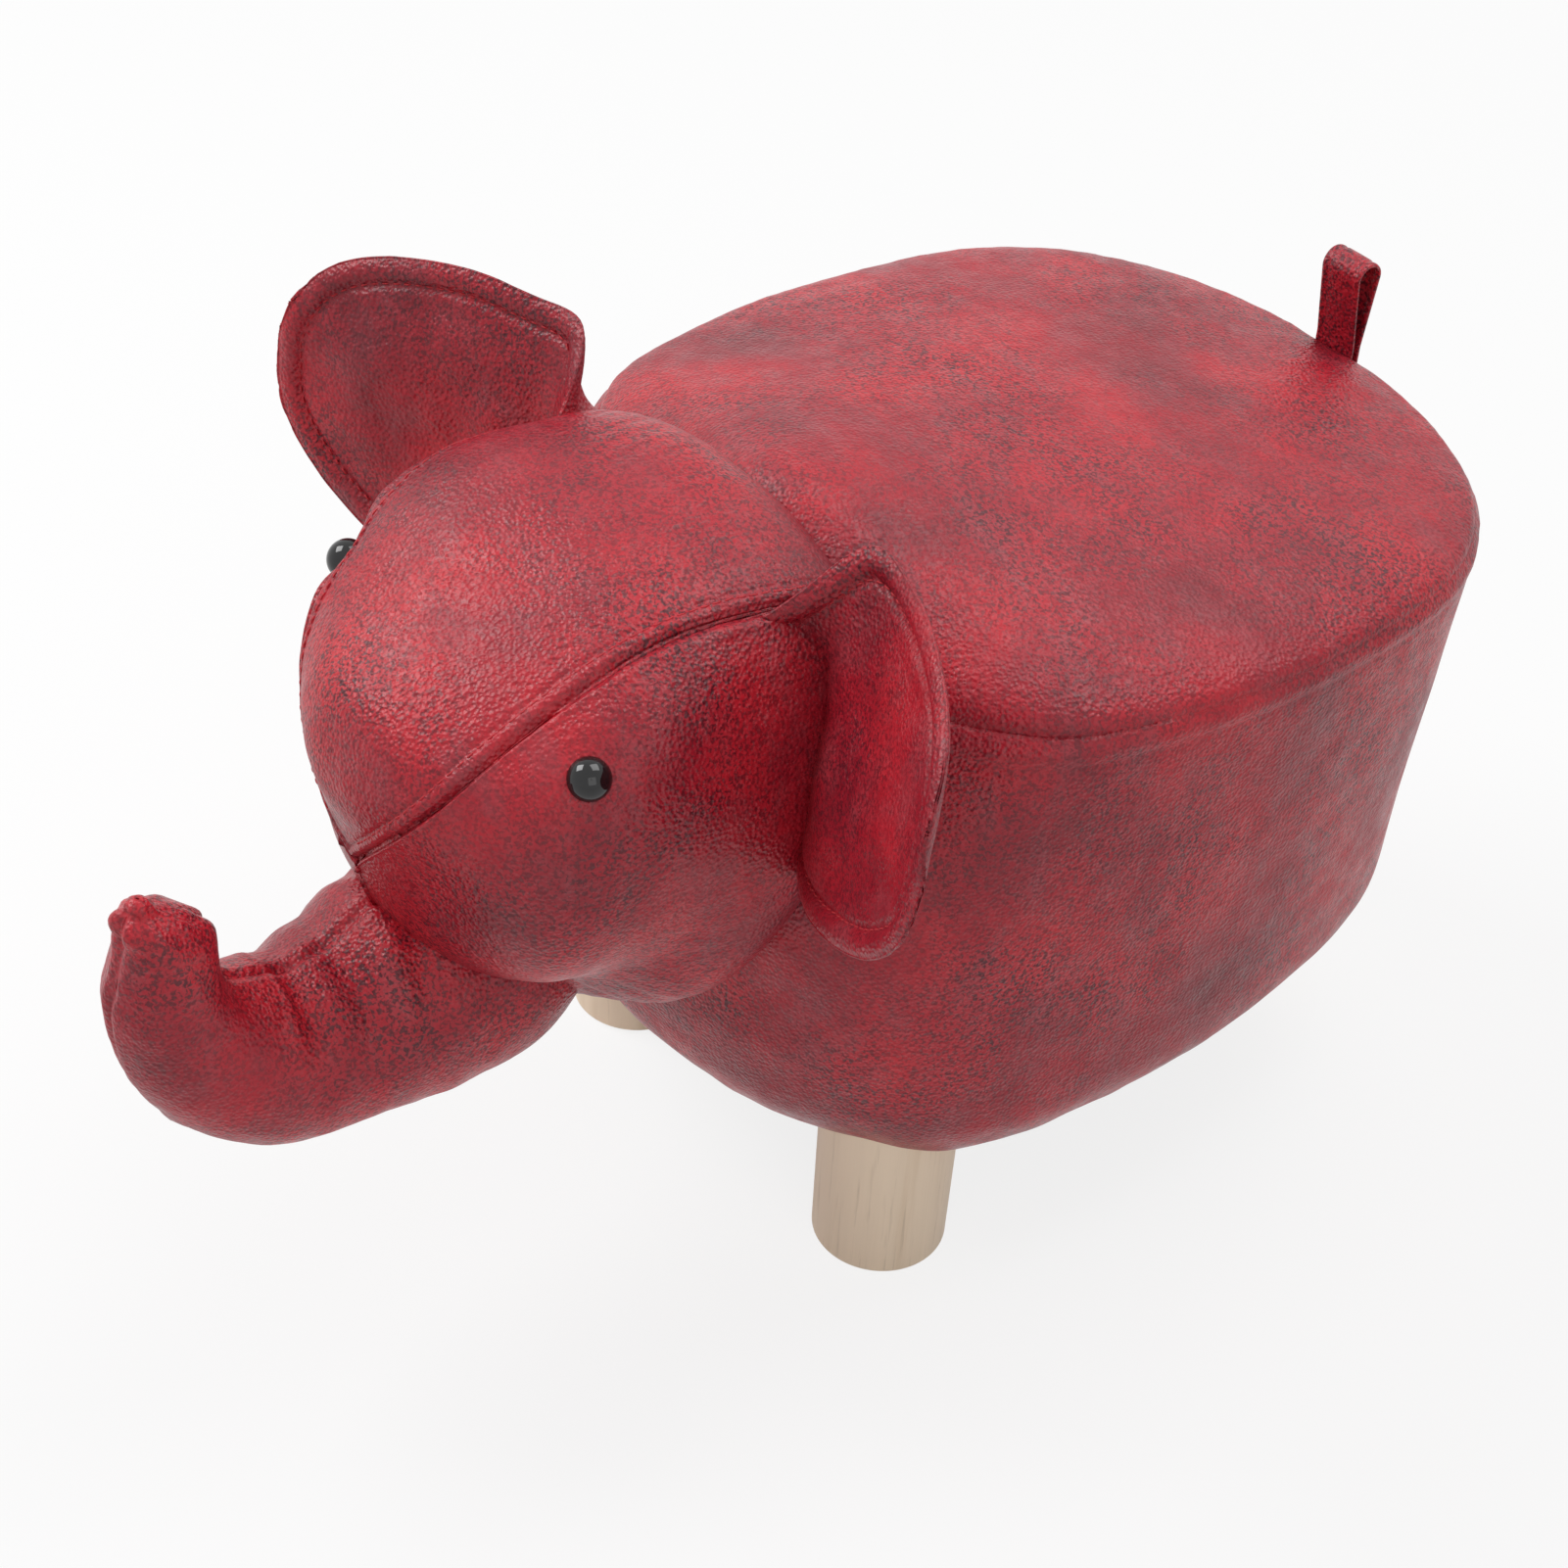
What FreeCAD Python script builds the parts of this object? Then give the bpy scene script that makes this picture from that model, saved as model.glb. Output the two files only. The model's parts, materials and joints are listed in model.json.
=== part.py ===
import FreeCAD, Part
import math
import os

# Animal-shaped upholstered footstool, millimetres, +Z up, face towards -Y.
# Origin: on the floor, under the middle of the overall box.

V = FreeCAD.Vector

# Legs and the boards that carry them
LEG_HEIGHT = 84.0
LEG_TOP_RADIUS = 30.0
LEG_FOOT_RADIUS = 29.0
LEG_EDGE_ROUND = 3.0
LEG_FRONT_X = 91.0
LEG_FRONT_Y = -10.0
LEG_REAR_X = 50.0
LEG_REAR_Y = 236.0
BOARD_THICK = 12.0
POST_SIDE = 34.0
POST_X = 60.0
POST_FRONT_Y = 24.0
POST_REAR_Y = 196.0
SEAT_FOAM_EDGE = 42.0
WRAP_THICK = 3.0
SIDE_FOAM_THICK = 12.0
LEATHER = 1.5
DUST_CLOTH = 0.6
HEM_TURN_IN = 46.0
DUST_MARGIN = 36.0

# Fasteners inside
BOLT_RADIUS = 4.0
BOLT_IN_LEG = 26.0
NUT_BARREL_RADIUS = 5.5
NUT_BARREL_LENGTH = 9.0
NUT_FLANGE_RADIUS = 11.0
NUT_FLANGE_THICK = 1.5
SCREW_RADIUS = 2.0
SCREW_HEAD_RADIUS = 4.0
SCREW_HEAD_HEIGHT = 2.5
SCREW_LENGTH = 42.0
SCREW_OFFSET = 9.0

# Body outline where the seat is sewn on, and where the hem meets the legs
SEAM_Z = 300.0
SEAM_HALF_WIDTH = 166.0
SEAM_WIDEST_Y = 117.0
SEAM_FRONT_Y = -56.0
SEAM_REAR_Y = 295.0
SEAM_SIDE_RADIUS = 360.0
SEAM_FRONT_RADIUS = 204.0
SEAM_REAR_RADIUS = 222.0
SEAM_FRONT_CORNER = 54.0
SEAM_REAR_CORNER = 120.0
HEM_HALF_WIDTH = 146.0
HEM_WIDEST_Y = 74.0
HEM_FRONT_Y = -72.0
HEM_REAR_Y = 288.0
HEM_SIDE_RADIUS = 500.0
HEM_FRONT_RADIUS = 187.0
HEM_REAR_RADIUS = 190.0
HEM_FRONT_CORNER = 74.0
HEM_REAR_CORNER = 95.0
CHEST_BULGE = 26.0
CHEST_SHARES = [(0.0, 0.0), (0.25, 0.75), (0.5, 1.0), (0.75, 0.7), (1.0, 0.0)]
HEM_ROUND = 22.0

# Seat crown, highest where it runs up to the head
CROWN = 46.0
CROWN_Y = -24.0

# Head: sections stand square to an axis that leans up from the neck
NECK_Y = -66.0
NECK_Z = 245.0
HEAD_TILT = 21.0
HEAD_LENGTH = 157.0
HEAD_HALF_WIDTH = 101.0
HEAD_RISE = 102.0
HEAD_DROP = 112.0

# Forehead shield, seen from the front
SHIELD_APEX_Z = 236.0
SHIELD_BROW_X = 62.0
SHIELD_BROW_Z = 300.0
SHIELD_TOP_X = 80.0
SHIELD_TOP_Z = 362.0

# Eyes
EYE_RADIUS = 8.2
EYE_DOME = 7.0
EYE_X = 88.0
EYE_Y = -164.0
EYE_Z = 312.0
EYE_SHANK_RADIUS = 2.4
EYE_SHANK = 16.0
EYE_WASHER_RADIUS = 9.0
EYE_WASHER_THICK = 1.5

# Trunk: straight out of the face, then an upward curl
TRUNK_ROOT_Y = -140.0
TRUNK_Z = 165.0
TRUNK_ROOT_RADIUS = 50.0
TRUNK_STRAIGHT = 108.0
TRUNK_BEND_RADIUS = 34.0
TRUNK_CURL_RADIUS = 46.0
TRUNK_CURL_TURN = 98.0
TRUNK_TIP_RISE = 40.0
TRUNK_TIP_RADIUS = 13.0

# Ears: stuffed leaves hinged along the sewn root
EAR_REACH = 128.0
EAR_ROOT_HALF = 58.0
EAR_UPPER_HALF = 66.0
EAR_LOWER_HALF = 72.0
EAR_HALF_THICK = 7.0
EAR_ROOT_BEAD = 2.6
EAR_CUP = 10.0
EAR_SEAM_ALLOWANCE = 7.0
EAR_SKIN = 1.2
EAR_ROOT_Y = -58.0
EAR_ROOT_Z = 297.0
EAR_SWEEP = 29.0
EAR_RISE = 20.0
EAR_ROOT_LEAN = 22.0

# Tail: a strap folded into a standing loop
TAIL_WIDTH = 22.0
TAIL_STRAP = 2.6
TAIL_HEIGHT = 34.0
TAIL_TOP_RADIUS = 7.6
TAIL_ROOT_RADIUS = 3.2
TAIL_ROOT_LIFT = 2.5

LAYER_GAP = 0.3
FILL_GAP = 0.6
DRILL_GAP = 0.15
FAR = 700.0

BODY_BOTTOM = LEG_HEIGHT
BOARD_Z = BODY_BOTTOM + LEATHER
TOP_BOARD_TOP = SEAM_Z - SEAT_FOAM_EDGE
BOARD_TOP = BOARD_Z + BOARD_THICK
TOP_BOARD_Z = TOP_BOARD_TOP - BOARD_THICK
FOAM_INSET = LEATHER + LAYER_GAP
WRAP_INSET = FOAM_INSET + SIDE_FOAM_THICK + LAYER_GAP
BOARD_INSET = WRAP_INSET + WRAP_THICK + LAYER_GAP
HEM_DRAW = 0.55 * HEM_ROUND
SEAM_RADII = [SEAM_SIDE_RADIUS, SEAM_FRONT_RADIUS, SEAM_REAR_RADIUS, SEAM_FRONT_CORNER, SEAM_REAR_CORNER]
HEM_RADII = [HEM_SIDE_RADIUS, HEM_FRONT_RADIUS, HEM_REAR_RADIUS, HEM_FRONT_CORNER, HEM_REAR_CORNER]


def arc_between(centre, radius, start, end, place):
    middle = (start + end).normalize()
    points = [centre + d * radius for d in (start, middle, end)]
    return Part.Arc(*[place(p.x, p.y) for p in points]).toShape()


def corner_centre(a, ra, b, rb, r, end):
    # Centre of an arc of radius r that runs smoothly into two larger arcs from inside,
    # at the rear (end = 1) or front (end = -1) of the outline.
    da = ra - r
    db = rb - r
    ab = b - a
    d = ab.Length
    along = (da * da - db * db + d * d) / (2 * d)
    across = math.sqrt(da * da - along * along)
    unit = ab * (1 / d)
    side = V(unit.y, -unit.x, 0)
    options = [a + unit * along + side * (s * across) for s in (1, -1)]
    return max(options, key=lambda p: p.x + p.y * end)


def egg_wire(half_width, widest, front, rear, radii, inset, place):
    # Closed outline of eight tangent arcs, mirrored about x = 0.
    r_side, r_front, r_rear, r_front_corner, r_rear_corner = radii
    side = V(half_width - r_side, widest, 0)
    rear_c = V(0, rear - r_rear, 0)
    front_c = V(0, front + r_front, 0)
    rc = corner_centre(rear_c, r_rear, side, r_side, r_rear_corner, 1)
    fc = corner_centre(front_c, r_front, side, r_side, r_front_corner, -1)
    to_rear = (rc - rear_c).normalize()
    to_front = (fc - front_c).normalize()
    side_rear = (rc - side).normalize()
    side_front = (fc - side).normalize()

    def flip(v):
        return V(-v.x, v.y, 0)

    half = [
        (rc, r_rear_corner, to_rear, side_rear),
        (side, r_side, side_rear, side_front),
        (fc, r_front_corner, side_front, to_front),
    ]
    edges = [arc_between(rear_c, r_rear - inset, flip(to_rear), to_rear, place)]
    for centre, radius, start, end in half:
        edges.append(arc_between(centre, radius - inset, start, end, place))
    edges.append(arc_between(front_c, r_front - inset, to_front, flip(to_front), place))
    for centre, radius, start, end in reversed(half):
        edges.append(arc_between(flip(centre), radius - inset, flip(end), flip(start), place))
    return Part.Wire(edges)


def mix(a, b, f):
    return a + (b - a) * f


def chest_share(f):
    # How much of the chest's bulge shows at share f of the wall's height.
    for (f0, s0), (f1, s1) in zip(CHEST_SHARES, CHEST_SHARES[1:]):
        if f <= f1:
            return mix(s0, s1, (f - f0) / (f1 - f0))
    return 0.0


def body_wire(z, inset):
    f = min((z - BODY_BOTTOM) / (SEAM_Z - BODY_BOTTOM), 1.0)
    bulge = CHEST_BULGE * chest_share(f)
    radii = [mix(low, high, f) for low, high in zip(HEM_RADII, SEAM_RADII)]
    return egg_wire(
        mix(HEM_HALF_WIDTH, SEAM_HALF_WIDTH, f),
        mix(HEM_WIDEST_Y, SEAM_WIDEST_Y, f),
        mix(HEM_FRONT_Y, SEAM_FRONT_Y, f) - bulge,
        mix(HEM_REAR_Y, SEAM_REAR_Y, f),
        radii,
        inset,
        lambda x, y: V(x, y, z),
    )


def hem_draw(z):
    # How far the leather curls in at height z, over the rounded hem.
    rise = (z - BODY_BOTTOM) / HEM_ROUND
    if rise >= 1:
        return 0.0
    return HEM_DRAW * (1 - rise) ** 2


def wall_wires(inset, z0, z1, hem):
    # Sections of the wall between two heights, drawn in by inset, with or without its hem curl.
    levels = [BODY_BOTTOM + HEM_ROUND * share for share in (0.3, 0.65, 1.0)] if hem else []
    levels += [mix(BODY_BOTTOM, SEAM_Z, share) for share, bulge in CHEST_SHARES[1:-1]]
    heights = [z0] + [z for z in levels if z0 < z < z1] + [z1]
    return [body_wire(z, inset + (hem_draw(z) if hem else 0)) for z in heights]


def block(wires):
    return Part.makeLoft(wires, True, True)


def ring(outer, inner):
    # Solid between two stacks of sections that share their heights at the ends.
    return block(outer).cut(block(inner))


def seat_wires(inset):
    # Sections of the crown, shrinking towards the neck while they rise.
    shares = [(1.0, 0.0), (0.95, 0.12), (0.82, 0.27), (0.6, 0.48), (0.35, 0.72), (0.12, 0.94), (0.03, 1.0)]
    wires = []
    for size, rise in shares:
        z = SEAM_Z + CROWN * rise - inset
        wires.append(scaled_seam(size, inset, z))
    return wires


def scaled_seam(size, inset, z):
    def place(x, y):
        return V(x * size, CROWN_Y + (y - CROWN_Y) * size, z)

    return egg_wire(SEAM_HALF_WIDTH, SEAM_WIDEST_Y, SEAM_FRONT_Y, SEAM_REAR_Y, SEAM_RADII, inset, place)


def head_place(s):
    tilt = math.radians(HEAD_TILT)
    ahead = V(0, -math.cos(tilt), math.sin(tilt))
    up = V(0, math.sin(tilt), math.cos(tilt))
    neck = V(0, NECK_Y, NECK_Z)
    return lambda x, w: neck + V(x, 0, 0) + up * w + ahead * s


def head_form(inset):
    # Shares of the head's length, half width, rise and drop at each section.
    sections = [
        (-0.45, 0.90, 0.90, 0.88, 0.6),
        (0.0, 0.99, 1.02, 0.95, 0.5),
        (0.30, 1.0, 0.98, 1.0, 0.55),
        (0.56, 0.97, 0.76, 0.88, 0.62),
        (0.76, 0.86, 0.50, 0.68, 0.68),
        (0.89, 0.64, 0.29, 0.44, 0.7),
        (0.97, 0.36, 0.15, 0.29, 0.55),
        (1.0, 0.15, 0.02, 0.16, 0.5),
    ]
    wires = []
    for along, wide, rise, drop, roundness in sections:
        half = HEAD_HALF_WIDTH * wide
        tall = (HEAD_RISE * rise + HEAD_DROP * drop) / 2
        middle = (HEAD_RISE * rise - HEAD_DROP * drop) / 2
        corner = roundness * min(half, tall)
        radii = [1.5 * tall, 1.4 * half, 1.5 * half, corner, corner]
        place = head_place((HEAD_LENGTH - inset) * along)
        wires.append(egg_wire(half, middle, middle - tall, middle + tall, radii, inset, place))
    return Part.makeLoft(wires, True, False)


def trunk_form(inset):
    # Circles square to an axis that runs forward, bends up and ends in a gathered tip.
    straight_end = TRUNK_ROOT_Y - TRUNK_STRAIGHT
    stations = []
    for back, up, size in ((0.72, 0.3, 0.5), (0.36, 0.1, 0.86)):
        r = TRUNK_ROOT_RADIUS
        stations.append((TRUNK_ROOT_Y + back * r, TRUNK_Z + up * r, 0.0, size * r))
    for share in (0.0, 0.3, 0.65, 1.0):
        radius = mix(TRUNK_ROOT_RADIUS, TRUNK_BEND_RADIUS, share)
        stations.append((mix(TRUNK_ROOT_Y, straight_end, share), TRUNK_Z, 0.0, radius))
    curl_z = TRUNK_Z + TRUNK_CURL_RADIUS
    mid_radius = mix(TRUNK_BEND_RADIUS, TRUNK_TIP_RADIUS, 0.62)
    for share in (0.33, 0.67, 1.0):
        turn = math.radians(TRUNK_CURL_TURN * share)
        y = straight_end - TRUNK_CURL_RADIUS * math.sin(turn)
        z = curl_z - TRUNK_CURL_RADIUS * math.cos(turn)
        stations.append((y, z, turn, mix(TRUNK_BEND_RADIUS, mid_radius, share)))
    last_y, last_z, turn, radius = stations[-1]
    shoulder = mix(radius, TRUNK_TIP_RADIUS, 0.7)
    for share, tip in ((0.6, shoulder), (1.0, TRUNK_TIP_RADIUS), (1.12, TRUNK_TIP_RADIUS * 0.45)):
        rise = (TRUNK_TIP_RISE - inset) * share
        y = last_y - rise * math.cos(turn)
        z = last_z + rise * math.sin(turn)
        stations.append((y, z, turn, tip))
    wires = []
    for y, z, turn, radius in stations:
        out = V(0, math.sin(turn), math.cos(turn))
        centre = V(0, y, z)
        r = max(radius - inset, 1.0)
        angles = [i * math.pi / 4 for i in range(8)]
        points = [centre + V(r * math.cos(q), 0, 0) + out * (r * math.sin(q)) for q in angles]
        arcs = [Part.Arc(points[i], points[i + 1], points[(i + 2) % 8]).toShape() for i in (0, 2, 4, 6)]
        wires.append(Part.Wire(arcs))
    return Part.makeLoft(wires, True, False)


def surface_point(solid, start, through):
    # Where a straight line that leaves the inside of a solid comes out of it.
    line = Part.makeLine(start, start + (through - start).normalize() * FAR)
    inside = line.common(solid)
    return max((v.Point for v in inside.Vertexes), key=lambda p: (p - start).Length)


def surface_normal(solid, start, through, reach):
    # Outward direction of the surface, from three points that lie close together on it.
    ahead = through - start
    side = ahead.cross(V(0, 0, 1)).normalize() * reach
    up = side.cross(ahead).normalize() * reach
    steps = (side, up - side * 0.5, up * -1 - side * 0.5)
    a, b, c = [surface_point(solid, start, through + step) for step in steps]
    normal = (b - a).cross(c - a).normalize()
    return normal if normal.dot(ahead) > 0 else normal * -1


def seated(shape, towards, target, gap):
    # Slides a shape up to what carries it, until the gap is left.
    moved = shape.copy()
    for step in range(12):
        distance = moved.distToShape(target)[0]
        if distance - gap < 0.01:
            break
        moved.translate(towards * (distance - gap))
    return moved


def eye_form():
    # Domed button with its shank, seated at z = 0.
    ball_radius = (EYE_RADIUS ** 2 + EYE_DOME ** 2) / (2 * EYE_DOME)
    ball = Part.makeSphere(ball_radius, V(0, 0, EYE_DOME - ball_radius))
    dome = ball.common(Part.makeCylinder(2 * EYE_RADIUS, 2 * EYE_DOME))
    shank = Part.makeCylinder(EYE_SHANK_RADIUS, EYE_SHANK + EYE_DOME / 2, V(0, 0, LAYER_GAP - EYE_SHANK))
    return dome.fuse(shank)


def ear_section(v, low, high, thick, side, split):
    # Front half (side = 1), back half (-1) or whole (0) of a lens between the two ends of the leaf.
    lift = EAR_CUP * ((2 * v / EAR_REACH - 1) ** 2 - 1) + side * split / 2
    a = V(v, low, lift)
    b = V(v, high, lift)
    middle = V(v, (low + high) / 2, lift)
    bows = [Part.Arc(a, middle + V(0, 0, s * thick), b).toShape() for s in (1, -1)]
    if side == 0:
        return Part.Wire(bows)
    bow = bows[0] if side > 0 else bows[1]
    return Part.Wire([bow, Part.makeLine(b, a)])


def ear_leaf(side, skin, margin, split):
    # The leaf or one half of it, thinned by the skin and held back from the rim by the margin.
    stations = [
        (0.0, EAR_ROOT_HALF, EAR_ROOT_HALF, EAR_ROOT_BEAD),
        (0.33, EAR_LOWER_HALF, EAR_UPPER_HALF, EAR_HALF_THICK),
        (0.66, EAR_LOWER_HALF * 0.98, EAR_UPPER_HALF * 0.9, EAR_HALF_THICK),
        (0.9, EAR_LOWER_HALF * 0.7, EAR_UPPER_HALF * 0.6, EAR_HALF_THICK * 0.75),
        (1.0, EAR_LOWER_HALF * 0.3, EAR_UPPER_HALF * 0.25, EAR_HALF_THICK * 0.4),
    ]
    wires = []
    for share, low, high, thick in stations:
        v = margin + (EAR_REACH - 2 * margin) * share
        wires.append(ear_section(v, margin - low, high - margin, thick - skin, side, split))
    return Part.makeLoft(wires, True, False)


def ear_bead(radius):
    length = 1.8 * EAR_ROOT_HALF
    return Part.makeCylinder(radius, length, V(0, -length / 2, 0), V(0, 1, 0))


def ear_pieces():
    pocket = ear_leaf(0, EAR_SKIN, EAR_SEAM_ALLOWANCE, 0)
    fill_in = EAR_SKIN + FILL_GAP
    fill_margin = EAR_SEAM_ALLOWANCE + 2 * FILL_GAP
    bead = ear_bead(EAR_ROOT_BEAD)
    bead_clear = ear_bead(EAR_ROOT_BEAD + LAYER_GAP)
    front = ear_leaf(1, 0, 0, LAYER_GAP)
    back = ear_leaf(-1, 0, 0, LAYER_GAP)
    return {
        "wadding": ear_leaf(0, fill_in, fill_margin, 0),
        "front_panel": front.cut(pocket).cut(bead_clear),
        "back_panel": back.cut(pocket).cut(bead).fuse(bead),
    }


def ear_placement():
    # Outward axis swept forward and up, root axis leaning with the neck seam.
    sweep = math.radians(EAR_SWEEP)
    rise = math.radians(EAR_RISE)
    lean = math.radians(EAR_ROOT_LEAN)
    out = V(math.cos(sweep) * math.cos(rise), -math.sin(sweep) * math.cos(rise), math.sin(rise))
    root_up = V(0, math.sin(lean), math.cos(lean))
    root_up = (root_up - out * root_up.dot(out)).normalize()
    face = out.cross(root_up)
    return out, root_up, face


def teardrop(root_radius, top_radius, root_z, top_z):
    # Two circles joined by their outer tangent lines, in the YZ plane.
    d = top_z - root_z
    tilt = math.asin((top_radius - root_radius) / d)
    c = math.cos(tilt)
    s = math.sin(tilt)
    low = [V(0, side * root_radius * c, root_z - root_radius * s) for side in (1, -1)]
    high = [V(0, side * top_radius * c, top_z - top_radius * s) for side in (1, -1)]
    foot = Part.Arc(low[1], V(0, 0, root_z - root_radius), low[0]).toShape()
    right = Part.makeLine(low[0], high[0])
    crest = V(0, 0, top_z + top_radius)
    bow = top_radius * math.sqrt(0.5)
    upper_right = Part.Arc(high[0], V(0, bow, top_z + bow), crest).toShape()
    upper_left = Part.Arc(crest, V(0, -bow, top_z + bow), high[1]).toShape()
    left = Part.makeLine(high[1], low[1])
    return Part.Face(Part.Wire([foot, right, upper_right, upper_left, left]))


def mirrored(shape):
    return shape.mirror(V(0, 0, 0), V(1, 0, 0))


def leg_places():
    for depth, spread, y in (("front", LEG_FRONT_X, LEG_FRONT_Y), ("rear", LEG_REAR_X, LEG_REAR_Y)):
        for side, x in (("left", spread), ("right", -spread)):
            yield depth + "_" + side, x, y


def cylinder(radius, x, y, z0, z1):
    return Part.makeCylinder(radius, z1 - z0, V(x, y, z0))


def shield(gap):
    # Prism along Y over the forehead, drawn in by the gap: two bowed sides meeting at the apex.
    apex = V(0, 0, SHIELD_APEX_Z + gap)
    edges = []
    for side in (1, -1):
        brow = V(side * (SHIELD_BROW_X - gap), 0, SHIELD_BROW_Z)
        top = V(side * (SHIELD_TOP_X - gap), 0, SHIELD_TOP_Z)
        edges.append(Part.Arc(apex, brow, top).toShape())
    tops = [V(side * (SHIELD_TOP_X - gap), 0, SHIELD_TOP_Z) for side in (1, -1)]
    highs = [V(p.x, 0, p.z + HEAD_RISE) for p in tops]
    corners = [tops[0], highs[0], highs[1], tops[1]]
    edges += [Part.makeLine(a, b) for a, b in zip(corners, corners[1:])]
    face = Part.Face(Part.Wire(Part.__sortEdges__(edges)))
    return face.extrude(V(0, -FAR, 0))


def half_space(side):
    return Part.makeBox(FAR, 2 * FAR, FAR, V(0 if side > 0 else -FAR, -FAR, 0))


def placed(shape, out, root_up, face, point):
    matrix = FreeCAD.Matrix(
        out.x, root_up.x, face.x, point.x,
        out.y, root_up.y, face.y, point.y,
        out.z, root_up.z, face.z, point.z,
        0, 0, 0, 1,
    )
    moved = shape.copy()
    moved.Placement = FreeCAD.Placement(matrix)
    return moved


nodes = {}

# Upholstered drum, from the outside in
seam_under = SEAM_Z - LEATHER
flange_outer = HEM_DRAW + LEATHER / 2
flange = ring(
    [body_wire(z, flange_outer) for z in (BODY_BOTTOM, BOARD_Z)],
    [body_wire(z, HEM_DRAW + HEM_TURN_IN) for z in (BODY_BOTTOM, BOARD_Z)],
)
wall_top = seam_under - LAYER_GAP
side_wall = ring(wall_wires(0, BODY_BOTTOM, wall_top, True), wall_wires(LEATHER, BODY_BOTTOM, wall_top, True))
side_panel = side_wall.fuse(flange)
seat_outer = seat_wires(0)
nodes["seat_panel"] = block([body_wire(seam_under, 0)] + seat_outer).cut(block(seat_wires(LEATHER)))
foam_side = wall_wires(FOAM_INSET, TOP_BOARD_TOP, seam_under - LAYER_GAP, False)
nodes["seat_foam"] = block(foam_side[:-1] + seat_wires(FOAM_INSET))
foam_top = TOP_BOARD_TOP - LAYER_GAP
nodes["side_foam"] = ring(
    wall_wires(FOAM_INSET, BOARD_Z, foam_top, True),
    wall_wires(WRAP_INSET - LAYER_GAP, BOARD_Z, foam_top, False),
)
nodes["side_wrap"] = ring(
    wall_wires(WRAP_INSET, BOARD_Z, foam_top, False),
    wall_wires(BOARD_INSET - LAYER_GAP, BOARD_Z, foam_top, False),
)
base_board = block(wall_wires(BOARD_INSET, BOARD_Z, BOARD_TOP, False))
top_board = block(wall_wires(BOARD_INSET, TOP_BOARD_Z, TOP_BOARD_TOP, False))
dust_z = BODY_BOTTOM - DUST_CLOTH
dust_cover = block([body_wire(z, HEM_DRAW + DUST_MARGIN) for z in (dust_z, BODY_BOTTOM)])

# Posts between the boards, with screws through both boards into each post
screws = []
for depth, y in (("front", POST_FRONT_Y), ("rear", POST_REAR_Y)):
    for side, x in (("left", POST_X), ("right", -POST_X)):
        half = POST_SIDE / 2
        post = Part.makeBox(POST_SIDE, POST_SIDE, TOP_BOARD_Z - BOARD_TOP, V(x - half, y - half, BOARD_TOP))
        for board_face, up in ((BOARD_Z, 1), (TOP_BOARD_TOP, -1)):
            spot = V(x - math.copysign(SCREW_OFFSET, x), y, board_face)
            way = V(0, 0, up)
            shank = Part.makeCylinder(SCREW_RADIUS, SCREW_LENGTH, spot, way)
            cap = Part.makeCylinder(SCREW_HEAD_RADIUS, SCREW_HEAD_HEIGHT, spot, way)
            hole = Part.makeCylinder(SCREW_RADIUS + DRILL_GAP, SCREW_LENGTH + DRILL_GAP, spot, way)
            recess = Part.makeCylinder(SCREW_HEAD_RADIUS + DRILL_GAP, SCREW_HEAD_HEIGHT, spot, way)
            screws.append(shank.fuse(cap))
            post = post.cut(hole)
            base_board = base_board.cut(hole.fuse(recess))
            top_board = top_board.cut(hole.fuse(recess))
        nodes["frame_post_" + depth + "_" + side] = post
nodes["frame_screws"] = Part.Compound(screws)

# Legs, each on a hanger bolt in a tee nut
bolts = []
nuts = []
for name, x, y in leg_places():
    leg = Part.makeCone(LEG_FOOT_RADIUS, LEG_TOP_RADIUS, LEG_HEIGHT, V(x, y, 0))
    foot_edges = [e for e in leg.Edges if e.BoundBox.ZMax < LEG_EDGE_ROUND]
    leg = leg.makeFillet(LEG_EDGE_ROUND, foot_edges)
    nut_bottom = BOARD_TOP - NUT_BARREL_LENGTH
    bolt_top = BOARD_TOP + NUT_FLANGE_THICK
    bolts.append(cylinder(BOLT_RADIUS, x, y, LEG_HEIGHT - BOLT_IN_LEG, bolt_top))
    bolt_hole = cylinder(BOLT_RADIUS + DRILL_GAP, x, y, LEG_HEIGHT - BOLT_IN_LEG - DRILL_GAP, FAR)
    barrel = cylinder(NUT_BARREL_RADIUS, x, y, nut_bottom, BOARD_TOP)
    nut_flange = cylinder(NUT_FLANGE_RADIUS, x, y, BOARD_TOP, bolt_top)
    nuts.append(barrel.fuse(nut_flange).cut(bolt_hole))
    base_board = base_board.cut(cylinder(NUT_BARREL_RADIUS + DRILL_GAP, x, y, nut_bottom, FAR)).cut(bolt_hole)
    side_panel = side_panel.cut(cylinder(BOLT_RADIUS + DRILL_GAP, x, y, 0, BOARD_TOP))
    dust_cover = dust_cover.cut(cylinder(LEG_TOP_RADIUS + LAYER_GAP, x, y, 0, BOARD_TOP))
    nodes["leg_" + name] = leg.cut(bolt_hole)
nodes["hanger_bolts"] = Part.Compound(bolts)
nodes["tee_nuts"] = Part.Compound(nuts)
nodes["side_panel"] = side_panel
nodes["base_board"] = base_board
nodes["top_board"] = top_board
nodes["dust_cover"] = dust_cover

# Head: stuffing, a shield-shaped forehead panel and two cheek panels
body = block(wall_wires(0, BODY_BOTTOM, SEAM_Z, True) + seat_outer[1:])
body_clear = block(wall_wires(-LAYER_GAP, BODY_BOTTOM, SEAM_Z + LAYER_GAP, True) + seat_wires(-LAYER_GAP)[1:])
head = head_form(0)
head_clear = head_form(-LAYER_GAP)
head_skin = head.cut(body_clear).cut(head_form(LEATHER))
head_fill = head_form(LEATHER + FILL_GAP).cut(body_clear)
cheeks = head_skin.cut(shield(0))
forehead = head_skin.common(shield(LAYER_GAP))

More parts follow.
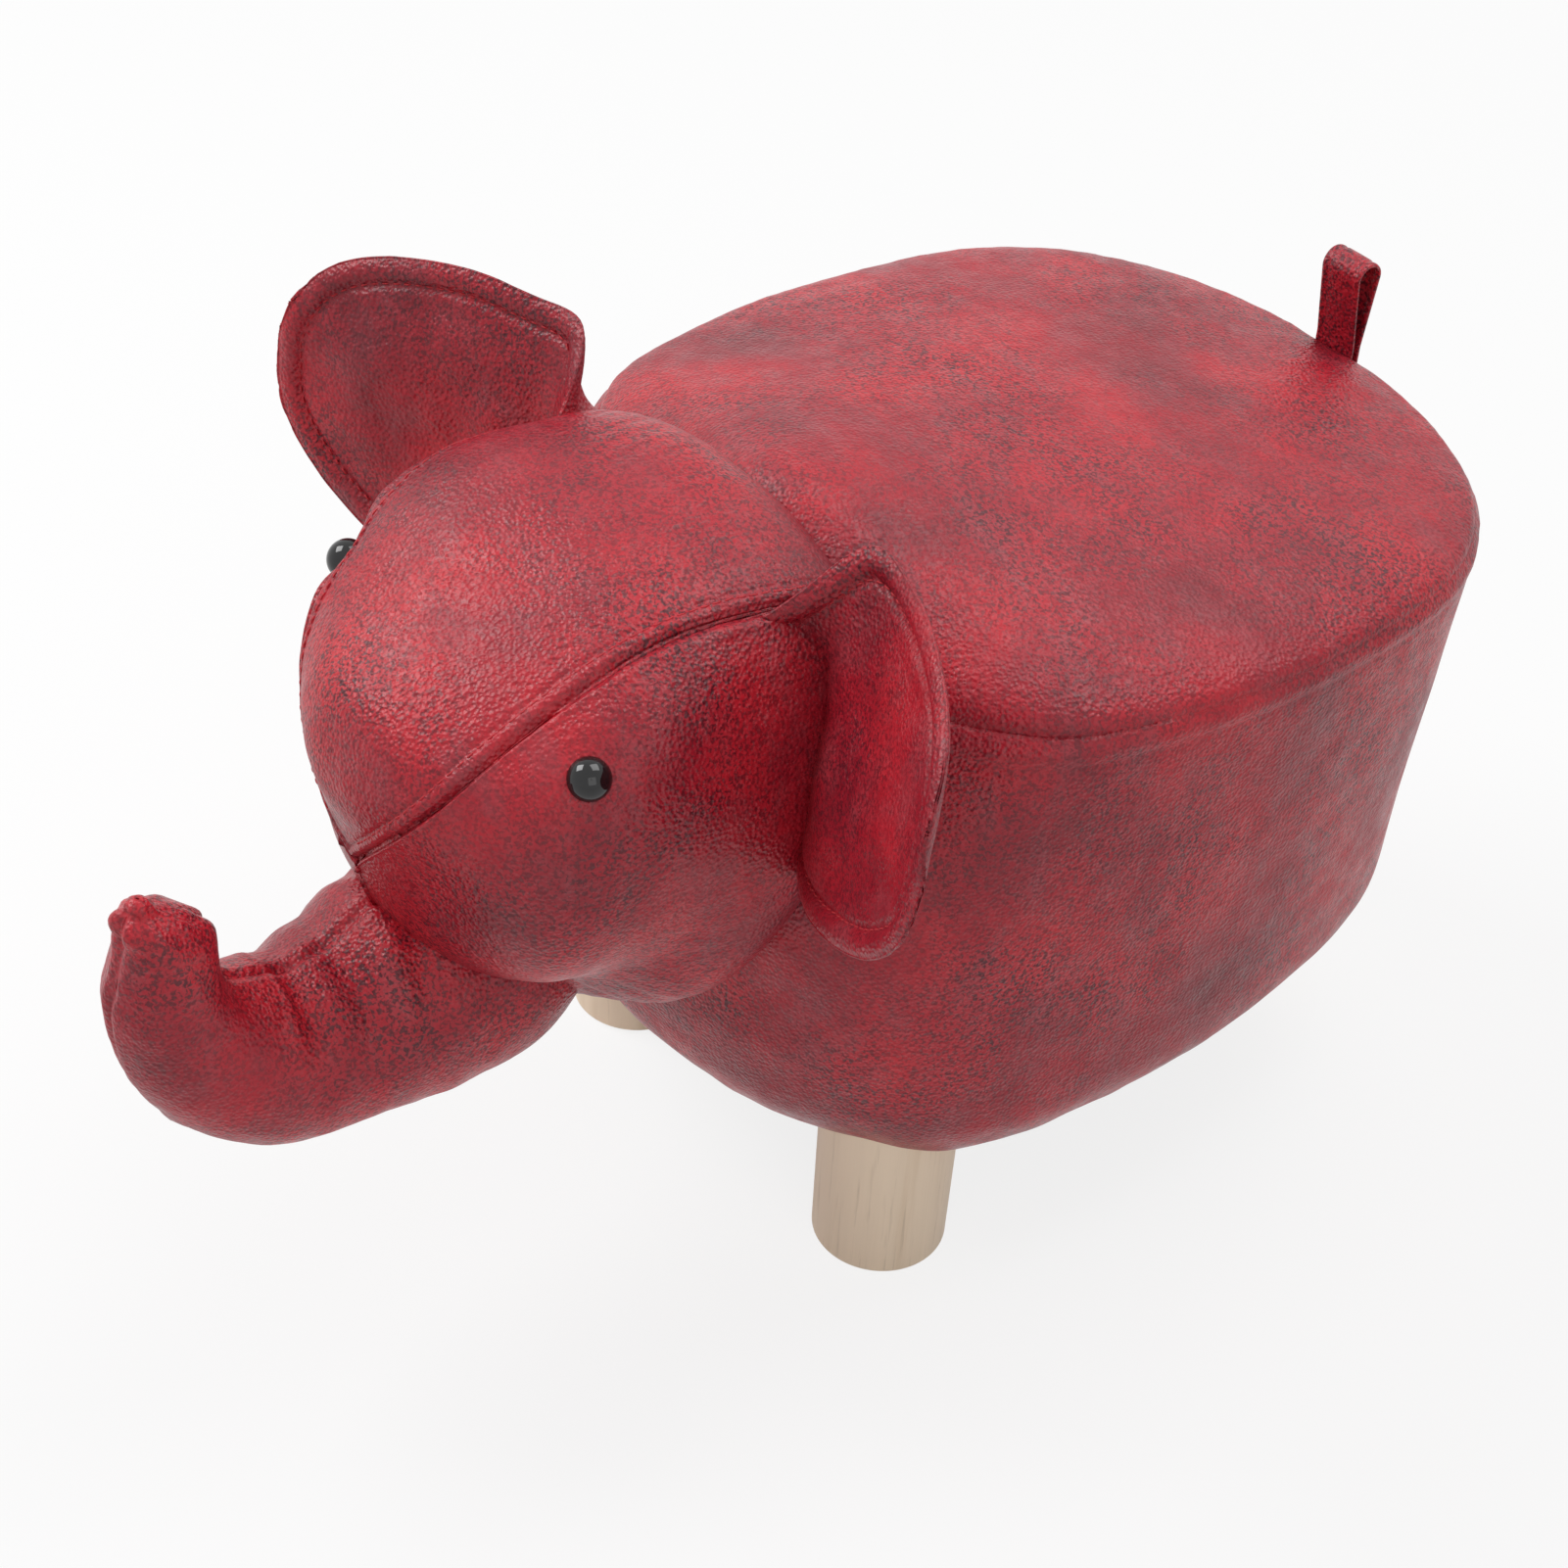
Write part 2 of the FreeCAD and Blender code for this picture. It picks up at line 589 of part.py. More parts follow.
# Trunk: stuffing in a two-piece sleeve sewn along the middle
trunk = trunk_form(0)
trunk_whole = trunk.cut(head_clear).cut(body_clear)
trunk_inside = trunk_form(LEATHER)
nodes["trunk_stuffing"] = trunk_form(LEATHER + FILL_GAP).cut(head_clear).cut(body_clear)

# Safety eyes with their washers inside the head
head_middle = head_place(HEAD_LENGTH / 2)(0, 0)
washers = []
for side_name, side in (("left", 1), ("right", -1)):
    look = V(side * EYE_X, EYE_Y, EYE_Z)
    spot = surface_point(head, head_middle, look)
    axis = surface_normal(head, head_middle, look, EYE_RADIUS)
    shank_base = spot - axis * EYE_SHANK
    hole_base = shank_base - axis * DRILL_GAP
    hole = Part.makeCylinder(EYE_SHANK_RADIUS + DRILL_GAP, EYE_SHANK + EYE_DOME, hole_base, axis)
    washer_base = spot - axis * (EYE_SHANK * 0.6)
    disc = Part.makeCylinder(EYE_WASHER_RADIUS, EYE_WASHER_THICK, washer_base, axis)
    pocket_base = washer_base - axis * DRILL_GAP
    pocket_depth = EYE_WASHER_THICK + 2 * DRILL_GAP
    pocket = Part.makeCylinder(EYE_WASHER_RADIUS + DRILL_GAP, pocket_depth, pocket_base, axis)
    eye = eye_form()
    eye.Placement = FreeCAD.Placement(spot + axis * LAYER_GAP, FreeCAD.Rotation(V(0, 0, 1), axis))
    nodes["eye_" + side_name] = eye
    washers.append(disc.cut(hole))
    head_fill = head_fill.cut(hole).cut(pocket)
    cheeks = cheeks.cut(hole)
nodes["eye_washers"] = Part.Compound(washers)
nodes["head_stuffing"] = head_fill
nodes["forehead_panel"] = forehead
for side_name, side in (("left", 1), ("right", -1)):
    nodes["cheek_panel_" + side_name] = cheeks.common(half_space(side))
    nodes["trunk_panel_" + side_name] = trunk_whole.common(half_space(side)).cut(trunk_inside)

# Ears, seated on the neck seam by the rolled root
out, root_up, face = ear_placement()
carrier = Part.Compound([head, body])
start = V(HEAD_HALF_WIDTH, EAR_ROOT_Y, EAR_ROOT_Z) + out * EAR_REACH
bead = seated(placed(ear_bead(EAR_ROOT_BEAD), out, root_up, face, start), out * -1, carrier, LAYER_GAP)
ear_root = bead.CenterOfMass
for name, shape in ear_pieces().items():
    left = placed(shape, out, root_up, face, ear_root)
    nodes["ear_left_" + name] = left
    nodes["ear_right_" + name] = mirrored(left)

# Tail loop, seated on the rear edge of the seat
loop = teardrop(TAIL_ROOT_RADIUS, TAIL_TOP_RADIUS, 0, TAIL_HEIGHT)
inner_top = TAIL_TOP_RADIUS - TAIL_STRAP
inner_root = TAIL_ROOT_RADIUS - TAIL_STRAP
gap_face = teardrop(inner_root, inner_top, 3 * TAIL_ROOT_RADIUS, TAIL_HEIGHT)
strap = loop.cut(gap_face).extrude(V(TAIL_WIDTH, 0, 0))
strap.translate(V(-TAIL_WIDTH / 2, SEAM_REAR_Y + TAIL_HEIGHT, SEAM_Z + TAIL_ROOT_LIFT))
tail = seated(strap, V(0, -1, 0), body, LAYER_GAP)
nodes["tail_loop"] = tail

# The origin goes under the middle of the overall length
front = trunk.optimalBoundingBox().YMin
rear = tail.BoundBox.YMax
shift = V(0, -(front + rear) / 2, 0)
tail_root = V(0, rear - TAIL_TOP_RADIUS, SEAM_Z + TAIL_ROOT_LIFT) + shift
print("ear root", ear_root + shift, "axis", root_up)
print("tail root", tail_root)
print("overall length", rear - front)

os.makedirs("parts", exist_ok=True)
for name, shape in nodes.items():
    shape.translate(shift)
    shape.exportStep("parts/" + name + ".step")
    print(name, shape.isValid(), len(shape.Solids), round(shape.Volume))
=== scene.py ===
import json
import math

import bmesh
import bpy
import numpy as np
from mathutils import Matrix, Vector, noise
from mathutils.bvhtree import BVHTree


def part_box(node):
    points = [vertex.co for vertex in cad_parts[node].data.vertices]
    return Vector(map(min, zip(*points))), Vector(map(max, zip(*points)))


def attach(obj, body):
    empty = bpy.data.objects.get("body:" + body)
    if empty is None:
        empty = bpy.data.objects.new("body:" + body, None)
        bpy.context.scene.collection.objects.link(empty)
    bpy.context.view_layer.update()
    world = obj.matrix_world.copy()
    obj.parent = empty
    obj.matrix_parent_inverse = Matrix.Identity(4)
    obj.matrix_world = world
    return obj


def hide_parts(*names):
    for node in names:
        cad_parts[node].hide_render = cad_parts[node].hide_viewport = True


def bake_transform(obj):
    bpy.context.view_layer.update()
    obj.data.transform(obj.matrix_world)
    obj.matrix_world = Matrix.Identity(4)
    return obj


# Looks of an animal-shaped footstool in mottled red faux leather, in metres.
# The face looks towards -Y, +Z is up.

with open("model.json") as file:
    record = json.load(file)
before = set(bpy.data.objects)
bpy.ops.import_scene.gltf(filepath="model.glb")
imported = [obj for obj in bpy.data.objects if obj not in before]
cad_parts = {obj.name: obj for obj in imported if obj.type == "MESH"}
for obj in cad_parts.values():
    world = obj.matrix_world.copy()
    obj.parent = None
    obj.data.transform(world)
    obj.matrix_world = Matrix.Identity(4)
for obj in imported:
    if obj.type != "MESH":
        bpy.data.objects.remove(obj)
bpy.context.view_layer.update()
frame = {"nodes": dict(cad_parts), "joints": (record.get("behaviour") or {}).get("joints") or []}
joints = {joint["name"]: joint for joint in frame["joints"]}

# Camera, fitted to the photograph
CAMERA_PLACE = (0.7854, -0.6579, 0.9981)
CAMERA_RIGHT = (0.6079, 0.7920, 0.0546)
CAMERA_UP = (-0.5204, 0.3457, 0.7807)
CAMERA_LENS = 71.95
CAMERA_SENSOR = 36.0
PHOTO_SIDE = 1601

# Leather and its seams
LEATHER = 0.0014
SEAM_DIP = 0.0024
SEAM_WIDTH = 0.0032
STITCH_LENGTH = 0.0036
STITCH_PITCH = 0.0048
STITCH_RADIUS = 0.00042
STITCH_SIDES = 6
STITCH_START = 0.12
# Rise and girth along one stitch, as shares of its radius
STITCH_RISES = [-0.9, 0.2, 0.55, 0.55, 0.2, -0.9]
STITCH_GIRTHS = [0.45, 0.9, 1.0, 1.0, 0.9, 0.45]
TOPSTITCH_INSET = 0.0095

# Drum
DRUM_MIDDLE_Y = 0.118
DRUM_COLUMNS = 288
WALL_ROWS = 76
SEAT_ROWS = 60
WALL_ROW_POWER = 0.9
SEAT_ROW_POWER = 1.7
WALL_RELAX = 14
SEAT_RELAX = 24
RELAX_SHARE = 0.6
HEM_INSET = 0.0012
SEAM_INSET = 0.0008
# Under the hem: shares of the way in and of the rise to the base, from the inside out
TURN_UNDER = 0.038
TURN_LIFT = 0.0006
TURNS = [(1.0, 1.0), (0.6, 1.0), (0.34, 0.86), (0.20, 0.42), (0.10, 0.08), (0.04, -0.08)]
SEAM_SWELL = 0.003
HEM_SWELL = 0.006
HEM_SWELL_POWER = 1.5
HEM_SAG = 0.006
HEM_SAG_POWER = 6
HEM_WAVE = 0.0016
HEM_WAVE_FADE = 0.02
WALL_SWELL = 0.0010
WALL_FOLDS = 0.0009
WALL_PUCKER = 0.0005
WALL_PUCKER_FADE = 0.014
WELT_DROP = 0.013
WELT_MIDDLE = 0.55 * WELT_DROP
WELT_HEIGHT = 0.0007
WELT_WIDTH = 0.0045
WELT_GROOVE = 0.0006
WELT_GROOVE_WIDTH = 0.0016
EDGE_DIP = 0.0034
SEAT_CAST = 0.992
SEAT_SWELL = 0.0011
SEAT_FOLDS = 0.0006
SEAT_FOLD_FADE = 0.08
SEAT_DROP = 0.0042
SEAT_PUCKER = 0.0006
SEAT_PUCKER_FADE = 0.010
SEAT_TUCK = 0.8 * EDGE_DIP
SEAT_TUCK_WIDTH = 0.0020
SEAT_LAP = 0.0004
TAIL_DENT = 0.0026
TAIL_DENT_SPREAD = 0.035

# Head: measured by rays that start at its reach and run towards its middle
HEAD_MIDDLE = Vector((0.0, -0.1264, 0.2703))
HEAD_REACH = 0.19
# Forehead seam: its apex, then where the photo shows its near side, in pixels
BROW_APEX = (0.0, -0.207, 0.236)
BROW_PIXELS = [
    (377, 872), (415, 850), (454, 823), (515, 765), (581, 714), (653, 663), (726, 634), (788, 622),
]
BROW_KNOTS = 80
BROW_ROUNDS = 40
# The far side of the seam stands wider than the near side
BROW_SKEW = 1.38
# The line under the chin, as angles below the horizon
CHIN_FIRST = 25.0
CHIN_LAST = 112.0
# Where the stuffing is slack or full: direction from the head's middle, depth, spread in degrees,
# and the share of the panel's length over which it fades at the neck
SLACK_SPOTS = [
    ((-0.066, -0.069, -0.014), 0.011, 17, 0.22),
    ((0.066, -0.069, -0.014), 0.004, 17, 0.22),
    ((-0.070, 0.015, 0.070), -0.015, 24, 0.06),
    ((0.088, -0.005, 0.058), -0.003, 15, 0.22),
    ((-0.078, 0.008, -0.106), 0.018, 19, 0.22),
    ((0.078, 0.008, -0.106), 0.018, 19, 0.22),
]
EYE_SOCKET = 0.016
HEAD_ROWS = 110
FOREHEAD_COLUMNS = 121
CHEEK_COLUMNS = 101
HEAD_RELAX = 10
# Shares of the seam between which a column looks for the neck
NECK_FIRST = 1.45
NECK_LAST = 0.4
NECK_STEP = 0.004
# How the panels run on and turn in at the neck
NECK_TUCKS = [(0.003, 0.003), (0.006, 0.009)]
NECK_WIDENING = 2.2
SEAM_RIDGE = 0.0007
SEAM_RIDGE_PLACE = 0.005
SEAM_RIDGE_WIDTH = 0.003
HEAD_PUCKER = 0.0006
HEAD_PUCKER_FADE = 0.016
NECK_PUCKER = 0.0008
NECK_PUCKER_FADE = 0.022
HEAD_SWELL = 0.0012
HEAD_SWELL_FADE = 0.03
TOPSTITCH_GROOVE = 0.0007
TOPSTITCH_WIDTH = 0.0012
TOPSTITCH_ROWS = (8, 106)

# Trunk: its axis runs forward from the root's y and z, then curls up
TRUNK_ROOT = (-0.1345, 0.165)
TRUNK_SUNK = 0.034
TRUNK_STRAIGHT = 0.108
TRUNK_CURL_RADIUS = 0.046
TRUNK_CURL_TURN = math.radians(98)
TRUNK_TIP_RISE = 0.043
# Length along the axis and radius, between a rounded root and a rounded tip with a gathered knob
TRUNK_BODY = [
    (0.030, 0.048), (0.054, 0.048), (0.090, 0.0395), (0.122, 0.0365), (0.170, 0.025), (0.206, 0.0185),
]
TRUNK_ROOT_CAP = 0.070
TRUNK_TIP_CAP = 0.0185
TRUNK_KNOB = 0.0055
# Length along the axis and how far the stuffing stands above it
TRUNK_LEAN = [
    (-0.034, 0.030), (0.000, 0.007), (0.054, 0.005), (0.095, -0.005), (0.150, 0.0055), (0.192, 0.0),
    (0.212, -0.0005), (0.225, -0.011), (0.230, -0.012),
]
TRUNK_GIRTH_ROUNDS = 18
TRUNK_LEAN_ROUNDS = 30
TRUNK_TIP_ROUNDS = 2
TRUNK_ROWS = 108
TRUNK_TIP_ROWS = 26
TRUNK_TIP_LENGTH = 0.020
TRUNK_TIP_STEP = 0.001
TRUNK_COLUMNS = 41
TRUNK_SEAM_DIP = 0.0018
TRUNK_SEAM_WIDTH = 0.0028
TRUNK_SEAM_END = 0.004
TRUNK_RIDGE = 0.0006
TRUNK_RIDGE_PLACE = 0.0045
TRUNK_RIDGE_WIDTH = 0.003
TRUNK_SWELL = 0.0013
TRUNK_PUCKER = 0.0007
TRUNK_PUCKER_FADE = 0.012
TRUNK_GATHER = 0.0011
TRUNK_GATHER_PLACE = 0.0085
TRUNK_GATHER_WIDTH = 0.007
TRUNK_GATHERS = 7
TRUNK_PLAIN_BELOW = 0.016
TRUNK_FOLD_SLANT = 0.010
# Cross folds on the upper side: place along the axis, depth, width
TRUNK_FOLDS = [(0.058, 0.0022, 0.0060), (0.083, 0.0014, 0.0055), (0.104, 0.0011, 0.0070)]

# Ears: leaves that hinge on their sewn root
EAR_SWEEP = math.radians(29)
EAR_RISE = math.radians(20)
EAR_HEM = 0.011
EAR_SUNK = 0.009
EAR_PLEAT = 0.024
EAR_PLEAT_PLACE = 0.5
EAR_PLEAT_WIDTH = 0.26
EAR_PLEAT_LENGTH = 0.32
EAR_ROWS = 70
EAR_COLUMNS = 91
EAR_LINE_ROUNDS = 12
EAR_SHEET_ROUNDS = 70
EAR_RIM_STEP = 0.0008
EAR_WAVE = 0.0040
EAR_WAVE_FADE = 0.04
EAR_PLUMP = 0.0062
EAR_PLUMP_FADE = 0.045
EAR_EDGE = 0.0010
EAR_EDGE_WIDTH = 0.0022
EAR_ROLL = 0.0013
EAR_ROLL_WIDTH = 0.0034
EAR_GROOVE = 0.0016
EAR_GROOVE_WIDTH = 0.0015
EAR_SWELL = 0.0012
EAR_SWELL_FADE = 0.02
EAR_LEATHER = 0.0009
# Rays that find the hem leave one row of the leaf; their fan is given as a share of half a turn
EAR_FAN_ROW = 0.42
EAR_FAN_REACH = 0.80
EAR_FAN_RAYS = 240
EAR_FAN_STEPS = 300
EAR_HEM_ROUNDS = 16
# Lines of the leaf, each with its place across it from -1 to 1, then at the stations from root to tip,
# in mm: out from the root, up along it, and forward
EAR_STATIONS = [0.0, 0.06, 0.12, 0.18, 0.26, 0.36, 0.50, 0.66, 0.80, 0.90, 0.96, 1.0]
EAR_LINES = [
    (-1.0,
     [-8, 1, 10, 18, 29, 43, 63, 85, 103, 115, 122, 127],
     [-58, -61, -64, -65.5, -66, -65.5, -62.5, -56, -47, -37, -26, -10],
     [-2, -1.5, -1, -1.5, -2.5, -4.5, -7, -9, -9.5, -9, -8, -5]),
    (-0.5,
     [0, 6, 13, 20, 30, 43, 63, 85, 104, 117, 124, 128],
     [-36, -37, -38, -38.5, -39, -39, -37.5, -34, -28, -21, -14, -5],
     [5, 4, 3, 1, -2, -5, -7.5, -8.5, -8, -7, -5.5, -3]),
    (0.0,
     [0, 7, 14, 22, 32, 45, 64, 86, 105, 118, 125, 128],
     [-6, -6, -6, -6, -6, -5.5, -5, -5, -4, -3.5, -2, 0],
     [9, 7.5, 6, 3, 0, -3, -5, -5, -4, -3, -2, -1]),
    (0.4,
     [-6, 2, 9, 17, 28, 42, 62, 85, 105, 118, 125, 128],
     [19, 21, 23, 25, 27, 28, 27, 23, 18, 13, 8, 3],
     [12, 10, 8, 5, 2, 0, -1, -2, -2, -1.5, -1, 0]),
    (0.75,
     [-6.6, 0, 6, 13, 25, 40, 61, 85, 104, 117, 124, 128],
     [36, 38, 42, 47, 49, 48.5, 47, 40, 31, 23, 15, 6],
     [28, 25, 20, 14, 8, 5, 3, 1.5, 0, 0, 0, 0]),
    (1.0,
     [-1, 1, 5, 10, 22, 36, 60, 84, 104, 117, 124, 127],
     [32, 43, 60, 75, 73, 67.5, 64.5, 55, 44, 33, 22, 8],
     [46, 38, 29, 22, 14, 10, 7, 4, 1, 0, 0, 0]),
]

# Tail: strap folded into a loop
TAIL_WIDTH = 0.022
TAIL_STRAP = 0.0024
TAIL_HEIGHT = 0.034
TAIL_TOP_RADIUS = 0.0064
TAIL_ROOT_RADIUS = 0.0020
TAIL_SUNK = 0.012
TAIL_SUNK_STEPS = 7
TAIL_SUNK_GAP = 0.0015
TAIL_SIDE_STEPS = 26
TAIL_TOP_STEPS = 30
TAIL_RING = 40
TAIL_GROOVE = 0.0005
TAIL_GROOVE_INSET = 0.0035
TAIL_GROOVE_WIDTH = 0.0010

# Studio
FLOOR_REACH = 12.0
FLOOR_GREY = 0.86
FLOOR_GLOW = 0.82
FLOOR_FADE = (0.5, 3.0)
WORLD_LIGHT = 0.36
LAMPS = [
    ("key", (-1.3, -0.9, 1.9), 1.1, 30.0),
    ("fill", (1.8, -0.7, 1.2), 1.4, 6.0),
    ("top", (0.1, 0.8, 2.1), 1.2, 17.0),
]
LAMP_TARGET = Vector((0, 0, 0.2))


def tree(*names):
    vertices = []
    faces = []
    for name in names:
        mesh = frame["nodes"][name].data
        first = len(vertices)
        vertices += [v.co.copy() for v in mesh.vertices]
        faces += [[first + i for i in p.vertices] for p in mesh.polygons]
    return BVHTree.FromPolygons(vertices, faces)


def unit(v):
    v = np.asarray(v, float)
    return v / np.linalg.norm(v)


def slerp(a, b, t):
    angle = math.acos(max(-1.0, min(1.0, float(np.dot(a, b)))))
    if angle < 1e-6:
        return a
    return (math.sin((1 - t) * angle) * a + math.sin(t * angle) * b) / math.sin(angle)


def smooth_step(t):
    t = np.clip(t, 0.0, 1.0)
    return t * t * (3 - 2 * t)


def filled(values):
    # Missing samples take the mean of their neighbours, until none is left.
    values = values.copy()
    while np.isnan(values).any():
        padded = np.pad(values, 1, mode="edge")
        around = [padded[:-2, 1:-1], padded[2:, 1:-1], padded[1:-1, :-2], padded[1:-1, 2:]]
        mean = np.nanmean(np.stack(around), axis=0)
        gaps = np.isnan(values)
        values[gaps] = mean[gaps]
    return values


def relaxed(values, rounds, closed):
    # Evens out the facets of the solids; the first and last rows move along themselves only.
    for step in range(rounds):
        left = np.roll(values, 1, 1)
        right = np.roll(values, -1, 1)
        if not closed:
            left[:, 0] = values[:, 0]
            right[:, -1] = values[:, -1]
        mean = (left + right) / 2
        mean[1:-1] = (mean[1:-1] + (values[:-2] + values[2:]) / 2) / 2
        values = values * (1 - RELAX_SHARE) + mean * RELAX_SHARE
    return values


def evened(values, rounds):
    # Smooths along the first axis, with both ends held.
    values = values.copy()
    for step in range(rounds):
        values[1:-1] = (values[:-2] + 2 * values[1:-1] + values[2:]) / 4
    return values


def bell(distance, width):
    return np.exp(-(distance / width) ** 2)


def crowded(count):
    # Shares from 0 to 1, closer together near both ends.
    return 0.5 - 0.5 * np.cos(np.pi * np.linspace(0, 1, count))


def grid_normals(points):
    normal = np.cross(np.gradient(points, axis=0), np.gradient(points, axis=1))
    length = np.linalg.norm(normal, axis=2, keepdims=True)
    return normal / np.maximum(length, 1e-12)


def field(points, scale, seed, octaves=3):
    # Smooth noise at each point, about -1 to 1; scale is cycles per metre along each axis.
    stretch = Vector(scale)
    offset = Vector((seed * 7.3, seed * 3.1, seed * 5.7))
    flat = points.reshape(-1, 3)
    values = np.empty(len(flat))
    for i, p in enumerate(flat):
        q = Vector((p[0] * stretch.x, p[1] * stretch.y, p[2] * stretch.z)) + offset
        values[i] = noise.fractal(q, 0.9, 2.0, octaves)
    return values.reshape(points.shape[:2])


def along(points):
    # Length along a line of points, from its start.
    steps = np.linalg.norm(np.diff(points, axis=0), axis=1)
    return np.concatenate([[0.0], np.cumsum(steps)])


def resampled(points, lengths):
    s = along(points)
    return np.stack([np.interp(lengths, s, points[:, k]) for k in range(3)], axis=1)


def placed(name, data):
    piece = bpy.data.objects.new(name, data)
    bpy.context.scene.collection.objects.link(piece)
    return piece


def panel(name, points, closed, flip, material, thickness=LEATHER):
    # A leather panel from a grid of points, with its thickness inside.
    rows, columns = points.shape[:2]
    faces = []
    for r in range(rows - 1):
        for c in range(columns if closed else columns - 1):
            d = (c + 1) % columns
            quad = [r * columns + c, r * columns + d, (r + 1) * columns + d, (r + 1) * columns + c]
            faces.append(quad[::-1] if flip else quad)
    mesh = bpy.data.meshes.new(name)
    mesh.from_pydata([tuple(p) for p in points.reshape(-1, 3)], [], faces)
    work = bmesh.new()
    work.from_mesh(mesh)
    bmesh.ops.remove_doubles(work, verts=work.verts, dist=2e-5)
    bmesh.ops.dissolve_degenerate(work, edges=work.edges, dist=1e-5)
    work.to_mesh(mesh)
    work.free()
    mesh.polygons.foreach_set("use_smooth", [True] * len(mesh.polygons))
    piece = placed(name, mesh)
    mesh.materials.append(material)
    if thickness:
        shell = piece.modifiers.new("thickness", "SOLIDIFY")
        shell.thickness = thickness
        shell.offset = -1.0
    return piece


def stitches(name, line, normal, material):
    # Thread dashes along a line, half sunk in the leather.
    s = along(line)
    count = int(s[-1] / STITCH_PITCH)
    vertices = []
    faces = []
    sides = STITCH_SIDES
    rings = len(STITCH_RISES)
    for i in range(count):
        start = (i + STITCH_START) * s[-1] / count
        knots = np.linspace(start, start + STITCH_LENGTH, rings)
        lift = resampled(normal, knots)
        rise = np.array(STITCH_RISES) * STITCH_RADIUS
        middle = resampled(line, knots) + lift * rise[:, None]
        girth = np.array(STITCH_GIRTHS) * STITCH_RADIUS
        heading = unit(middle[-1] - middle[0])
        side = unit(np.cross(heading, lift[2]))
        up = np.cross(side, heading)
        first = len(vertices)
        for p, g in zip(middle, girth):
            for k in range(sides):
                a = 2 * math.pi * k / sides
                vertices.append(tuple(p + (side * math.cos(a) + up * math.sin(a)) * g))
        for r in range(rings - 1):
            for k in range(sides):
                j = (k + 1) % sides
                a = first + r * sides
                faces.append([a + k, a + j, a + sides + j, a + sides + k])
        faces.append([first + k for k in reversed(range(sides))])
        faces.append([first + (rings - 1) * sides + k for k in range(sides)])
    mesh = bpy.data.meshes.new(name)
    mesh.from_pydata(vertices, [], faces)
    mesh.polygons.foreach_set("use_smooth", [True] * len(mesh.polygons))
    mesh.materials.append(material)
    return placed(name, mesh)


def new_material(name):
    material = bpy.data.materials.new(name)
    material.use_nodes = True
    nodes = material.node_tree.nodes
    links = material.node_tree.links
    shader = nodes["Principled BSDF"]

    def add(kind, **settings):
        node = nodes.new(kind)
        for key, value in settings.items():
            if hasattr(node, key):
                setattr(node, key, value)
            else:
                node.inputs[key].default_value = value
        return node

    return material, add, links, shader


def noise_node(add, links, place, scale, detail, roughness=0.6):
    node = add("ShaderNodeTexNoise", Scale=scale, Detail=detail, Roughness=roughness)
    links.new(place, node.inputs["Vector"])
    return node.outputs["Fac"]


def ramp_node(add, links, value, stops):
    node = add("ShaderNodeValToRGB")
    while len(node.color_ramp.elements) < len(stops):
        node.color_ramp.elements.new(0.5)
    for element, (place, colour) in zip(node.color_ramp.elements, stops):
        element.position = place
        element.color = (*colour, 1.0)
    links.new(value, node.inputs["Fac"])
    return node.outputs["Color"]


def mix_node(add, links, blend, factor, first, second):
    node = add("ShaderNodeMix", data_type="RGBA", blend_type=blend)
    for socket, value in ((node.inputs[0], factor), (node.inputs[6], first), (node.inputs[7], second)):
        if hasattr(value, "links"):
            links.new(value, socket)
        elif isinstance(value, tuple):
            socket.default_value = (*value, 1.0)
        else:
            socket.default_value = value
    return node.outputs[2]


